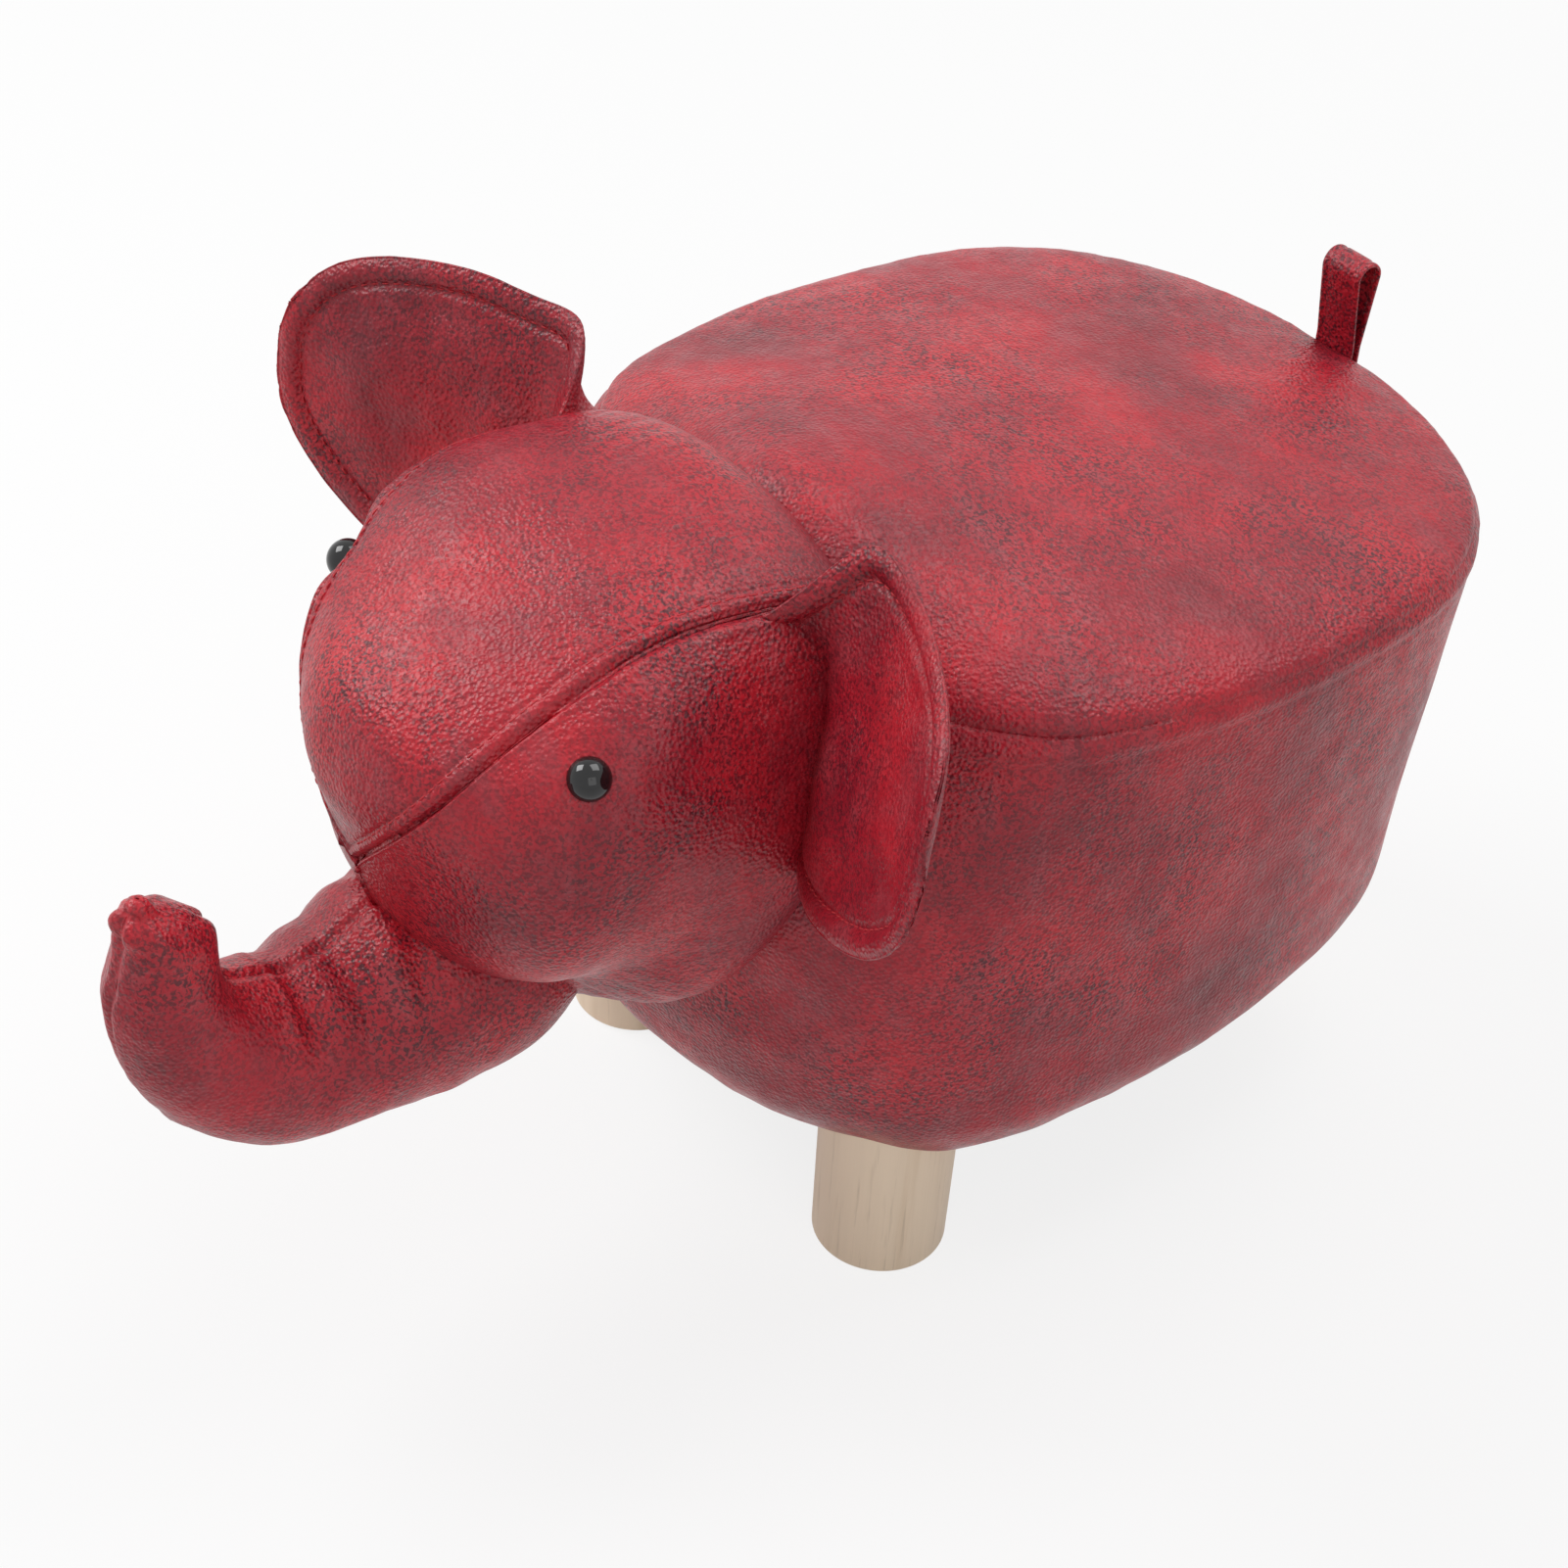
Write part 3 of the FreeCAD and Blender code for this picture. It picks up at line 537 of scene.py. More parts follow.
def red_leather():
    material, add, links, shader = new_material("red_leather")
    place = add("ShaderNodeTexCoord").outputs["Object"]
    drift = add("ShaderNodeMapping")
    drift.inputs["Rotation"].default_value = (0.5, 0.4, 0.7)
    drift.inputs["Scale"].default_value = (1.0, 2.6, 1.3)
    links.new(place, drift.inputs["Vector"])
    patches = noise_node(add, links, place, 13.0, 5.0, 0.62)
    colour = ramp_node(add, links, patches, [
        (0.30, (0.210, 0.007, 0.017)),
        (0.45, (0.360, 0.010, 0.023)),
        (0.56, (0.470, 0.014, 0.027)),
        (0.70, (0.560, 0.020, 0.032)),
    ])
    # Lighter greyish diagonal streaks: stretch marks in the leather, with a painted sheen on them
    streaks = noise_node(add, links, drift.outputs["Vector"], 26.0, 6.0, 0.66)
    streak_mask = ramp_node(add, links, streaks, [(0.50, (0, 0, 0)), (0.66, (1, 1, 1))])
    stretch_marks_and_sheen = add("ShaderNodeMath", operation="MULTIPLY")
    links.new(streak_mask, stretch_marks_and_sheen.inputs[0])
    stretch_marks_and_sheen.inputs[1].default_value = 0.42
    colour = mix_node(add, links, "MIX", stretch_marks_and_sheen.outputs[0], colour, (0.30, 0.060, 0.075))
    speck = noise_node(add, links, place, 620.0, 1.5, 0.5)
    speck.node.inputs["Distortion"].default_value = 0.6
    speck_mask = ramp_node(add, links, speck, [(0.46, (0, 0, 0)), (0.60, (1, 1, 1))])
    where = noise_node(add, links, place, 15.0, 4.0, 0.6)
    where_mask = ramp_node(add, links, where, [(0.36, (0.30, 0.30, 0.30)), (0.64, (1, 1, 1))])
    dark = add("ShaderNodeMath", operation="MULTIPLY")
    links.new(speck_mask, dark.inputs[0])
    links.new(where_mask, dark.inputs[1])
    colour = mix_node(add, links, "MIX", dark.outputs[0], colour, (0.085, 0.006, 0.013))
    links.new(colour, shader.inputs["Base Color"])
    gloss = ramp_node(add, links, noise_node(add, links, place, 90.0, 4.0), [
        (0.35, (0.30, 0.30, 0.30)),
        (0.65, (0.46, 0.46, 0.46)),
    ])
    links.new(gloss, shader.inputs["Roughness"])
    shader.inputs["Specular IOR Level"].default_value = 0.38
    cells = add("ShaderNodeTexVoronoi", feature="SMOOTH_F1", Scale=620.0, Smoothness=0.6)
    links.new(place, cells.inputs["Vector"])
    pebble = add("ShaderNodeBump", Strength=0.7, Distance=0.0008)
    links.new(cells.outputs["Distance"], pebble.inputs["Height"])
    crease = noise_node(add, links, place, 210.0, 5.0, 0.65)
    crackle = add("ShaderNodeBump", Strength=0.35, Distance=0.0012)
    links.new(crease, crackle.inputs["Height"])
    links.new(pebble.outputs["Normal"], crackle.inputs["Normal"])
    links.new(crackle.outputs["Normal"], shader.inputs["Normal"])
    return material


def wood(name, light, dark, scale, stretch):
    # Straight grain, from a noise drawn out along the axis that has the small stretch.
    material, add, links, shader = new_material(name)
    place = add("ShaderNodeTexCoord").outputs["Object"]
    drawn = add("ShaderNodeMapping")
    drawn.inputs["Scale"].default_value = stretch
    links.new(place, drawn.inputs["Vector"])
    grain = noise_node(add, links, drawn.outputs["Vector"], scale, 6.0, 0.6)
    pale = tuple(1.06 * c for c in light)
    colour = ramp_node(add, links, grain, [(0.36, dark), (0.50, light), (0.66, pale)])
    pores = noise_node(add, links, drawn.outputs["Vector"], scale * 9, 3.0)
    pore_mask = ramp_node(add, links, pores, [(0.60, (0, 0, 0)), (0.72, (0.4, 0.4, 0.4))])
    colour = mix_node(add, links, "MIX", pore_mask, colour, tuple(0.72 * c for c in dark))
    links.new(colour, shader.inputs["Base Color"])
    shader.inputs["Roughness"].default_value = 0.55
    bump = add("ShaderNodeBump", Strength=0.2, Distance=0.0004)
    links.new(pores, bump.inputs["Height"])
    links.new(bump.outputs["Normal"], shader.inputs["Normal"])
    return material


def plain(name, first, second, scale, roughness, metallic=0.0, bump=0.1):
    # Two close shades in a fine noise.
    material, add, links, shader = new_material(name)
    place = add("ShaderNodeTexCoord").outputs["Object"]
    value = noise_node(add, links, place, scale, 4.0)
    links.new(ramp_node(add, links, value, [(0.4, first), (0.6, second)]), shader.inputs["Base Color"])
    shader.inputs["Roughness"].default_value = roughness
    shader.inputs["Metallic"].default_value = metallic
    height = add("ShaderNodeBump", Strength=bump, Distance=0.0004)
    links.new(value, height.inputs["Height"])
    links.new(height.outputs["Normal"], shader.inputs["Normal"])
    return material


leather = red_leather()
thread = plain("red_thread", (0.36, 0.010, 0.018), (0.52, 0.016, 0.026), 900.0, 0.6)


def drum_edge(side_tree, z, angle):
    # Where the wall stands at a height, seen from the drum's middle.
    way = Vector((math.cos(angle), math.sin(angle), 0.0))
    middle = Vector((0.0, DRUM_MIDDLE_Y, z))
    hit = side_tree.ray_cast(middle + way * 0.5, -way, 0.5)[0]
    return math.nan if hit is None else (hit - middle).length


def drum_radii(heights, angles, share):
    # Distance of the wall from the drum's middle line, row by row.
    side_tree = tree("side_panel")
    radii = np.array([[drum_edge(side_tree, z, a) for a in angles] for z in heights])
    radii = relaxed(filled(radii), WALL_RELAX, True)
    radii += SEAM_SWELL + HEM_SWELL * (1 - share) ** HEM_SWELL_POWER
    return (np.roll(radii, 1, 1) + 2 * radii + np.roll(radii, -1, 1)) / 4


def side_cover():
    # Returns what the seat is sewn to: the seam's angles, radii and height.
    low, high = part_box("side_panel")
    hem_z = low.z + HEM_INSET
    seam_z = high.z - SEAM_INSET
    angles = np.arange(DRUM_COLUMNS) * 2 * math.pi / DRUM_COLUMNS
    heights = hem_z + (seam_z - hem_z) * np.linspace(0, 1, WALL_ROWS) ** WALL_ROW_POWER
    share = ((heights - hem_z) / (seam_z - hem_z))[:, None]
    radii = drum_radii(heights, angles, share)
    out = np.zeros((WALL_ROWS, DRUM_COLUMNS, 3))
    out[..., 0] = np.cos(angles)
    out[..., 1] = np.sin(angles)
    wall = out * radii[..., None]
    wall[..., 1] += DRUM_MIDDLE_Y
    wall[..., 2] = heights[:, None]
    below_seam = seam_z - wall[..., 2]
    above_hem = wall[..., 2] - hem_z
    amount = WALL_SWELL * field(wall, (9, 9, 7), 1)
    amount += WALL_FOLDS * field(wall, (16, 16, 5), 2, 4) * np.sin(np.pi * share)
    amount += WALL_PUCKER * field(wall, (120, 120, 18), 3, 2) * np.exp(-below_seam / WALL_PUCKER_FADE)
    amount += WELT_HEIGHT * bell(below_seam - WELT_MIDDLE, WELT_WIDTH)
    amount -= WELT_GROOVE * bell(below_seam - WELT_DROP, WELT_GROOVE_WIDTH)
    amount -= EDGE_DIP * bell(below_seam, SEAM_WIDTH)
    hem_wave = HEM_WAVE * field(wall, (34, 34, 0), 4, 2) * np.exp(-above_hem / HEM_WAVE_FADE)
    wall = wall + out * amount[..., None]
    wall[..., 2] += hem_wave - HEM_SAG * (1 - share) ** HEM_SAG_POWER
    hem = wall[0]
    rings = []
    for inward, rise in TURNS:
        ring = hem.copy()
        ring[:, :2] -= out[0, :, :2] * (TURN_UNDER * inward)
        ring[:, 2] += (low.z + TURN_LIFT - hem[:, 2]) * rise
        rings.append(ring)
    side = panel("side_cover", np.concatenate([np.stack(rings), wall]), True, False, leather)
    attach(side, "stool")
    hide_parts("side_panel", "side_foam")
    return angles, radii[-1], seam_z


def seat_cover(angles, edge, seam_z):
    seat_tree = tree("seat_panel")
    cos = np.cos(angles)
    sin = np.sin(angles)
    sizes = 1 - (1 - np.linspace(0, 1, SEAT_ROWS)) ** SEAT_ROW_POWER
    seat = np.empty((SEAT_ROWS, DRUM_COLUMNS, 3))
    for r, size in enumerate(sizes):
        seat[r, :, 0] = edge * size * cos
        seat[r, :, 1] = DRUM_MIDDLE_Y + edge * size * sin
        reach = edge * min(size, SEAT_CAST)
        for c in range(DRUM_COLUMNS):
            above = Vector((reach[c] * cos[c], DRUM_MIDDLE_Y + reach[c] * sin[c], 1.0))
            hit = seat_tree.ray_cast(above, Vector((0, 0, -1)))[0]
            seat[r, c, 2] = math.nan if hit is None else hit.z
    seat[..., 2] = relaxed(filled(seat[..., 2]), SEAT_RELAX, True)
    from_edge = (1 - sizes)[:, None] * edge[None, :]
    seat[..., 2] += SEAT_SWELL * field(seat, (10, 10, 1), 5)
    seat[..., 2] += SEAT_FOLDS * field(seat, (34, 16, 1), 6, 4) * np.exp(-from_edge / SEAT_FOLD_FADE)
    seat[..., 2] -= SEAT_DROP * bell(from_edge, SEAM_WIDTH)
    tail = np.array(joints["tail_fold"]["pos_m"])
    seat[..., 2] -= TAIL_DENT * np.exp(-((seat - tail) ** 2).sum(axis=2) / TAIL_DENT_SPREAD ** 2)
    seat[..., 2] += SEAT_PUCKER * field(seat, (130, 130, 1), 7, 2) * np.exp(-from_edge / SEAT_PUCKER_FADE)
    tuck = SEAT_TUCK * bell(from_edge, SEAT_TUCK_WIDTH)
    seat[..., 0] -= tuck * cos
    seat[..., 1] -= tuck * sin
    seat[-1, :, 2] = np.minimum(seat[-1, :, 2], seam_z - SEAT_LAP)
    top = panel("seat_cover", seat, True, True, leather)
    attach(top, "stool")
    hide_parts("seat_panel", "seat_foam")


def camera_axes():
    right = Vector(CAMERA_RIGHT).normalized()
    back = right.cross(Vector(CAMERA_UP)).normalized()
    return right, back.cross(right), back


def seen_at(surface, pixel):
    # Point of a surface that the camera sees at a pixel of the photo.
    right, up, back = camera_axes()
    focal = CAMERA_LENS / CAMERA_SENSOR * PHOTO_SIDE
    across = (pixel[0] - PHOTO_SIDE / 2) / focal
    down = (pixel[1] - PHOTO_SIDE / 2) / focal
    way = (right * across - up * down - back).normalized()
    return surface.ray_cast(Vector(CAMERA_PLACE), way)[0]


def brow_directions(head_tree):
    # Directions of the forehead seam from the head's middle, from the apex to the ear.
    seam = [BROW_APEX] + [seen_at(head_tree, pixel) for pixel in BROW_PIXELS]
    line = np.array(seam) - np.array(HEAD_MIDDLE)
    line = evened(resampled(line, np.linspace(0, along(line)[-1], BROW_KNOTS)), BROW_ROUNDS)
    return np.array([unit(p) for p in line])


def on_line(directions, v):
    # Direction at share v of the seam; past its end it runs on the same way.
    last = len(directions) - 1
    if v >= 1:
        turn = (v - 1) * last / 4
        return unit(directions[-1] + (directions[-1] - directions[-5]) * turn)
    i = min(int(v * last), last - 1)
    return slerp(directions[i], directions[i + 1], v * last - i)


def head_radius(head_tree, direction):
    way = Vector(direction)
    hit = head_tree.ray_cast(HEAD_MIDDLE + way * HEAD_REACH, -way, HEAD_REACH)
    return math.nan if hit[0] is None else HEAD_REACH - hit[3]


def slack_depth(ways, points, from_neck):
    # How far the slack stuffing lets the leather sink, with none of it round the eyes.
    slack = np.zeros(ways.shape[:2])
    for spot, depth, spread, fade in SLACK_SPOTS:
        angle = np.degrees(np.arccos(np.clip(ways @ unit(spot), -1, 1)))
        slack += depth * np.exp(-0.5 * (angle / spread) ** 2) * smooth_step(from_neck / fade)
    for name in ("eye_left", "eye_right"):
        low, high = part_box(name)
        gap = np.linalg.norm(points - np.array((low + high) / 2), axis=2)
        slack *= 1 - np.exp(-(gap / EYE_SOCKET) ** 4)
    return slack


def head_patch(head_tree, first, second, columns):
    # Grid of points on the head between two lines that leave the apex together and end at the neck.
    rows = HEAD_ROWS
    radii = np.empty((rows, columns))
    ways = np.empty((rows, columns, 3))
    for c, u in enumerate(crowded(columns)):
        v = NECK_FIRST
        while v > NECK_LAST and math.isnan(head_radius(head_tree, slerp(first(v), second(v), u))):
            v -= NECK_STEP
        for r in range(rows):
            share = v * (1 - (1 - r / (rows - 1)) ** 1.15)
            ways[r, c] = unit(slerp(first(share), second(share), u))
            radii[r, c] = head_radius(head_tree, ways[r, c])
    radii = relaxed(filled(radii), HEAD_RELAX, False)
    middle = np.array(HEAD_MIDDLE)
    from_neck = 1 - np.linspace(0, 1, rows)[:, None]
    radii -= slack_depth(ways, middle + ways * radii[..., None], from_neck)
    points = np.empty((rows + len(NECK_TUCKS), columns, 3))
    points[:rows] = middle + ways * radii[..., None]
    heading = points[rows - 1] - points[rows - 3]
    heading = heading / np.maximum(np.linalg.norm(heading, axis=1, keepdims=True), 1e-9)
    for k, (onward, inward) in enumerate(NECK_TUCKS):
        points[rows + k] = points[rows - 1] + heading * onward - ways[rows - 1] * inward
    return points


def edge_length(points, reverse):
    # Distance of each grid point from the first (or last) column, along its row.
    steps = np.linalg.norm(np.diff(points, axis=1), axis=2)
    if reverse:
        steps = steps[:, ::-1]
    length = np.concatenate([np.zeros((len(points), 1)), np.cumsum(steps, axis=1)], axis=1)
    return length[:, ::-1] if reverse else length


def end_length(points):
    steps = np.linalg.norm(np.diff(points, axis=0), axis=2)[::-1]
    length = np.concatenate([np.zeros((1, points.shape[1])), np.cumsum(steps, axis=0)])
    return length[::-1]


def row_line(points, normal, inset, first_row, last_row, reverse):
    # Line at a distance from a side of the grid, row by row, with the surface's normals.
    length = edge_length(points, reverse)
    line = []
    ups = []
    for r in range(first_row, last_row):
        s = length[r]
        order = np.argsort(s)
        if s.max() < inset * 2.2:
            continue
        line.append([np.interp(inset, s[order], points[r, order, k]) for k in range(3)])
        ups.append([np.interp(inset, s[order], normal[r, order, k]) for k in range(3)])
    return np.array(line), np.array(ups)


def dressed(points, normal, seam, seed, groove):
    # Seam dips, puckers beside the seams and a soft unevenness.
    neck = end_length(points)
    amount = -SEAM_DIP * bell(seam, SEAM_WIDTH)
    amount -= SEAM_DIP * bell(neck, SEAM_WIDTH * NECK_WIDENING)
    amount += SEAM_RIDGE * bell(seam - SEAM_RIDGE_PLACE, SEAM_RIDGE_WIDTH)
    amount += HEAD_PUCKER * field(points, (95, 95, 95), seed, 2) * np.exp(-seam / HEAD_PUCKER_FADE)
    amount += NECK_PUCKER * field(points, (60, 60, 60), seed + 1, 2) * np.exp(-neck / NECK_PUCKER_FADE)
    amount += HEAD_SWELL * field(points, (13, 13, 13), seed + 2) * np.minimum(1, seam / HEAD_SWELL_FADE)
    if groove:
        amount -= TOPSTITCH_GROOVE * bell(seam - groove, TOPSTITCH_WIDTH)
    return points + normal * amount[..., None]


def head_normals(points):
    # Normals away from the head's middle, and the sign that turned them.
    normal = grid_normals(points)
    outward = np.sign(np.mean(np.sum(normal * (points - np.array(HEAD_MIDDLE)), axis=2)))
    return normal * outward, outward


def head_covers():
    head_tree = tree("forehead_panel", "cheek_panel_left", "cheek_panel_right")
    brow = brow_directions(head_tree)
    mirror = np.array([-BROW_SKEW, 1.0, 1.0])

    def left_seam(v):
        return on_line(brow, v)

    def right_seam(v):
        return unit(on_line(brow, v) * mirror)

    def chin(v):
        angle = math.radians(CHIN_FIRST + (CHIN_LAST - CHIN_FIRST) * v)
        return np.array([0.0, -math.cos(angle), -math.sin(angle)])

    points = head_patch(head_tree, left_seam, right_seam, FOREHEAD_COLUMNS)
    normal, outward = head_normals(points)
    seam = np.minimum(edge_length(points, False), edge_length(points, True))
    points = dressed(points, normal, seam, 11, TOPSTITCH_INSET)
    forehead = panel("forehead_cover", points, False, outward > 0, leather)
    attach(forehead, "stool")
    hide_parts("forehead_panel", "head_stuffing")
    for name, reverse in (("left", False), ("right", True)):
        line, ups = row_line(points, normal, TOPSTITCH_INSET, *TOPSTITCH_ROWS, reverse)
        sewn = stitches("forehead_topstitch_" + name, line, ups, thread)
        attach(sewn, "stool")
    for name, edge, seed in (("left", left_seam, 21), ("right", right_seam, 31)):
        points = head_patch(head_tree, edge, chin, CHEEK_COLUMNS)
        normal, outward = head_normals(points)
        points = dressed(points, normal, edge_length(points, False), seed, 0)
        cheek = panel("cheek_cover_" + name, points, False, outward > 0, leather)
        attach(cheek, "stool")
        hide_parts("cheek_panel_" + name)


def trunk_axis(s):
    # Place and upward direction of the trunk's axis at length s.
    turn = min(max(s - TRUNK_STRAIGHT, 0.0) / TRUNK_CURL_RADIUS, TRUNK_CURL_TURN)
    rise = max(s - TRUNK_STRAIGHT - TRUNK_CURL_RADIUS * TRUNK_CURL_TURN, 0.0)
    ahead = min(s, TRUNK_STRAIGHT) + TRUNK_CURL_RADIUS * math.sin(turn) + rise * math.cos(turn)
    lift = TRUNK_CURL_RADIUS * (1 - math.cos(turn)) + rise * math.sin(turn)
    up = np.array([0.0, math.sin(turn), math.cos(turn)])
    return np.array([0.0, TRUNK_ROOT[0] - ahead, TRUNK_ROOT[1] + lift]), up


def trunk_girth(s, total):
    body = np.interp(s, *zip(*TRUNK_BODY))
    into_root = np.clip((TRUNK_BODY[0][0] - s) / TRUNK_ROOT_CAP, 0, 1)
    into_tip = np.clip((s - TRUNK_BODY[-1][0]) / TRUNK_TIP_CAP, 0, 1)
    knob = np.sqrt(np.maximum(TRUNK_KNOB ** 2 - (s - total + TRUNK_KNOB) ** 2, 1e-6))
    return np.maximum(body * np.sqrt((1 - into_root ** 2) * (1 - into_tip ** 2)), knob)


def trunk_evened(line, rounds):
    # Smooths the body, then the finer rows of the tip.
    tip = TRUNK_TIP_ROWS
    for step in range(rounds):
        line[1:-tip] = (line[:-tip - 1] + 2 * line[1:-tip] + line[2:1 - tip]) / 4
    for step in range(TRUNK_TIP_ROUNDS):
        line[-tip:-1] = (line[-tip - 1:-2] + 2 * line[-tip:-1] + line[1 - tip:]) / 4
    return line


def trunk_relief(points, seam, lengths, turns, total, side, seed):
    # Seam, cross folds, puckers and the gathers round the tip.
    upper = smooth_step(1.25 - 1.6 * turns)[None, :]
    amount = -TRUNK_SEAM_DIP * bell(seam, TRUNK_SEAM_WIDTH) * (lengths < total - TRUNK_SEAM_END)
    amount += TRUNK_RIDGE * bell(seam - TRUNK_RIDGE_PLACE, TRUNK_RIDGE_WIDTH)
    for place, depth, width in TRUNK_FOLDS:
        slant = place + TRUNK_FOLD_SLANT * turns * side + 0.002 * np.sin(turns * 9 + place * 400)
        past = lengths - slant[None, :]
        amount -= depth * upper * bell(past, width)
        amount += 0.6 * depth * upper * bell(past - 1.9 * width, 1.2 * width)
    amount += TRUNK_SWELL * field(points, (34, 34, 34), seed, 3)
    amount += TRUNK_PUCKER * field(points, (90, 90, 90), seed + 1, 2) * np.exp(-seam / TRUNK_PUCKER_FADE)
    gather = bell(total - TRUNK_GATHER_PLACE - lengths, TRUNK_GATHER_WIDTH)
    return amount + TRUNK_GATHER * gather * np.cos(turns * math.pi * TRUNK_GATHERS)[None, :]


def trunk_covers():
    total = TRUNK_STRAIGHT + TRUNK_CURL_RADIUS * TRUNK_CURL_TURN + TRUNK_TIP_RISE
    tip = total - TRUNK_TIP_LENGTH
    stations = np.concatenate([
        np.linspace(-TRUNK_SUNK, tip, TRUNK_ROWS),
        np.linspace(tip + TRUNK_TIP_STEP, total, TRUNK_TIP_ROWS),
    ])
    girth = trunk_evened(trunk_girth(stations, total), TRUNK_GIRTH_ROUNDS)
    shift = trunk_evened(np.interp(stations, *zip(*TRUNK_LEAN)), TRUNK_LEAN_ROUNDS)
    turns = crowded(TRUNK_COLUMNS)
    lengths = np.repeat(stations[:, None], TRUNK_COLUMNS, 1)
    for name, side, seed in (("left", 1, 41), ("right", -1, 51)):
        points = np.empty((len(stations), TRUNK_COLUMNS, 3))
        normal = np.empty_like(points)
        seam = np.empty(points.shape[:2])
        for r, s in enumerate(stations):
            middle, up = trunk_axis(s)
            middle = middle + up * shift[r]
            for c, share in enumerate(turns):
                angle = math.pi * share
                way = up * math.cos(angle) + np.array([side * math.sin(angle), 0, 0])
                points[r, c] = middle + way * girth[r]
                normal[r, c] = way
                seam[r, c] = girth[r] * min(angle, math.pi - angle)
        amount = trunk_relief(points, seam, lengths, turns, total, side, seed)
        amount *= np.minimum(1, girth / TRUNK_PLAIN_BELOW)[:, None]
        points = points + normal * amount[..., None]
        piece = panel("trunk_cover_" + name, points, False, side > 0, leather)
        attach(piece, "stool")
        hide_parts("trunk_panel_" + name)
    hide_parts("trunk_stuffing")


def ear_frame(side):
    out = np.array([
        side * math.cos(EAR_SWEEP) * math.cos(EAR_RISE),
        -math.sin(EAR_SWEEP) * math.cos(EAR_RISE),
        math.sin(EAR_RISE),
    ])
    joint = joints["ear_left_fold" if side > 0 else "ear_right_fold"]
    up = np.array(joint["axis"]) * (1 if side > 0 else -1)
    up = unit(up - out * np.dot(up, out))
    face = np.cross(out, up) * side
    return np.array(joint["pos_m"]), out, up, face


def ear_sheet(a, b):
    # Middle sheet of the leaf as out, up and forward lengths, rows from root to tip.
    knots = [line[0] for line in EAR_LINES]
    sheet = np.empty((len(b), len(a), 3))
    for k in range(3):
        lines = np.array([np.interp(b, EAR_STATIONS, line[k + 1]) for line in EAR_LINES]) / 1000
        rows = evened(lines.T, EAR_LINE_ROUNDS)
        sheet[..., k] = [np.interp(a, knots, row) for row in rows]
    return evened(sheet.swapaxes(0, 1), EAR_SHEET_ROUNDS).swapaxes(0, 1)


def rim_distance(sheet):
    # Distance of each point from the leaf's free edge.
    edge = np.concatenate([sheet[:, 0], sheet[-1, 1:], sheet[-2::-1, -1]])
    edge = resampled(edge, np.arange(0, along(edge)[-1], EAR_RIM_STEP))
    flat = sheet.reshape(-1, 3)
    near = [np.sqrt(((edge - p) ** 2).sum(axis=1).min()) for p in flat]
    return np.array(near).reshape(sheet.shape[:2])


def hem_line(points, normal, rim):
    # Line at the hem's distance from the free edge, from the lower root round the tip to the upper root.
    rows, columns = rim.shape
    steps = np.linspace(0, 1, EAR_FAN_STEPS)
    line = []
    ups = []
    for turn in np.linspace(-EAR_FAN_REACH, EAR_FAN_REACH, EAR_FAN_RAYS) * math.pi:
        r = EAR_FAN_ROW * rows + steps * (1 - EAR_FAN_ROW) * rows * math.cos(turn)
        c = 0.5 * columns + steps * 0.5 * columns * math.sin(turn)
        inside = (r >= 0) & (r <= rows - 1) & (c >= 0) & (c <= columns - 1)
        i = np.round(r[inside]).astype(int)
        j = np.round(c[inside]).astype(int)
        far = np.nonzero(rim[i, j] < EAR_HEM)[0]
        if len(far):
            line.append(points[i[far[0]], j[far[0]]])
            ups.append(normal[i[far[0]], j[far[0]]])
    return evened(np.array(line), EAR_HEM_ROUNDS), evened(np.array(ups), EAR_HEM_ROUNDS)


def ear_covers(name, side, seed):
    root, out, up, face = ear_frame(side)
    b = crowded(EAR_ROWS)
    a = np.sin(np.pi / 2 * np.linspace(-1, 1, EAR_COLUMNS))
    sheet = ear_sheet(a, b)
    rim = rim_distance(sheet)
    wave = EAR_WAVE * field(sheet * (1, 1, 0), (19, 19, 1), seed + 4, 2)
    sheet[..., 2] += wave * smooth_step(rim / EAR_WAVE_FADE)
    middle = root + sheet[..., :1] * out + sheet[..., 1:2] * up + sheet[..., 2:] * face
    normal = grid_normals(middle)
    normal = normal * np.sign(np.sum(normal[EAR_ROWS // 2, EAR_COLUMNS // 2] * face))
    pleat = EAR_PLEAT * bell(a - EAR_PLEAT_PLACE, EAR_PLEAT_WIDTH)[None, :]
    pleat = pleat * (1 - smooth_step(b / EAR_PLEAT_LENGTH))[:, None]
    # A row more at the root runs on into the head
    middle = np.concatenate([middle[:1] - EAR_SUNK * out, middle])
    normal, rim, pleat, reach = (np.concatenate([g[:1], g]) for g in (normal, rim, pleat, sheet[..., 0]))
    plump = EAR_PLUMP * smooth_step(rim / EAR_PLUMP_FADE) ** 0.8 * smooth_step(reach / 0.05 + 0.35)
    for layer, sign in (("front", 1), ("back", -1)):
        height = EAR_EDGE * np.minimum(1, rim / EAR_EDGE_WIDTH) + plump
        height = height + EAR_ROLL * bell(rim - 0.5 * EAR_HEM, EAR_ROLL_WIDTH)
        height = height - EAR_GROOVE * bell(rim - EAR_HEM, EAR_GROOVE_WIDTH)
        swell = EAR_SWELL * field(middle, (38, 38, 38), seed + sign, 3)
        height = height + swell * smooth_step(rim / EAR_SWELL_FADE)
        if layer == "back":
            height = height + pleat
        points = middle + normal * (sign * height)[..., None]
        turned = (sign > 0) == (side > 0)
        piece = panel("ear_" + name + "_" + layer + "_cover", points, False, turned, leather, EAR_LEATHER)
        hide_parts("ear_" + name + "_" + layer + "_panel")
        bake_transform(piece)
        line, ups = hem_line(points[1:], normal[1:] * sign, rim[1:])
        sewn = stitches("ear_" + name + "_" + layer + "_topstitch", line, ups, thread)
        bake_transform(sewn)
    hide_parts("ear_" + name + "_wadding")


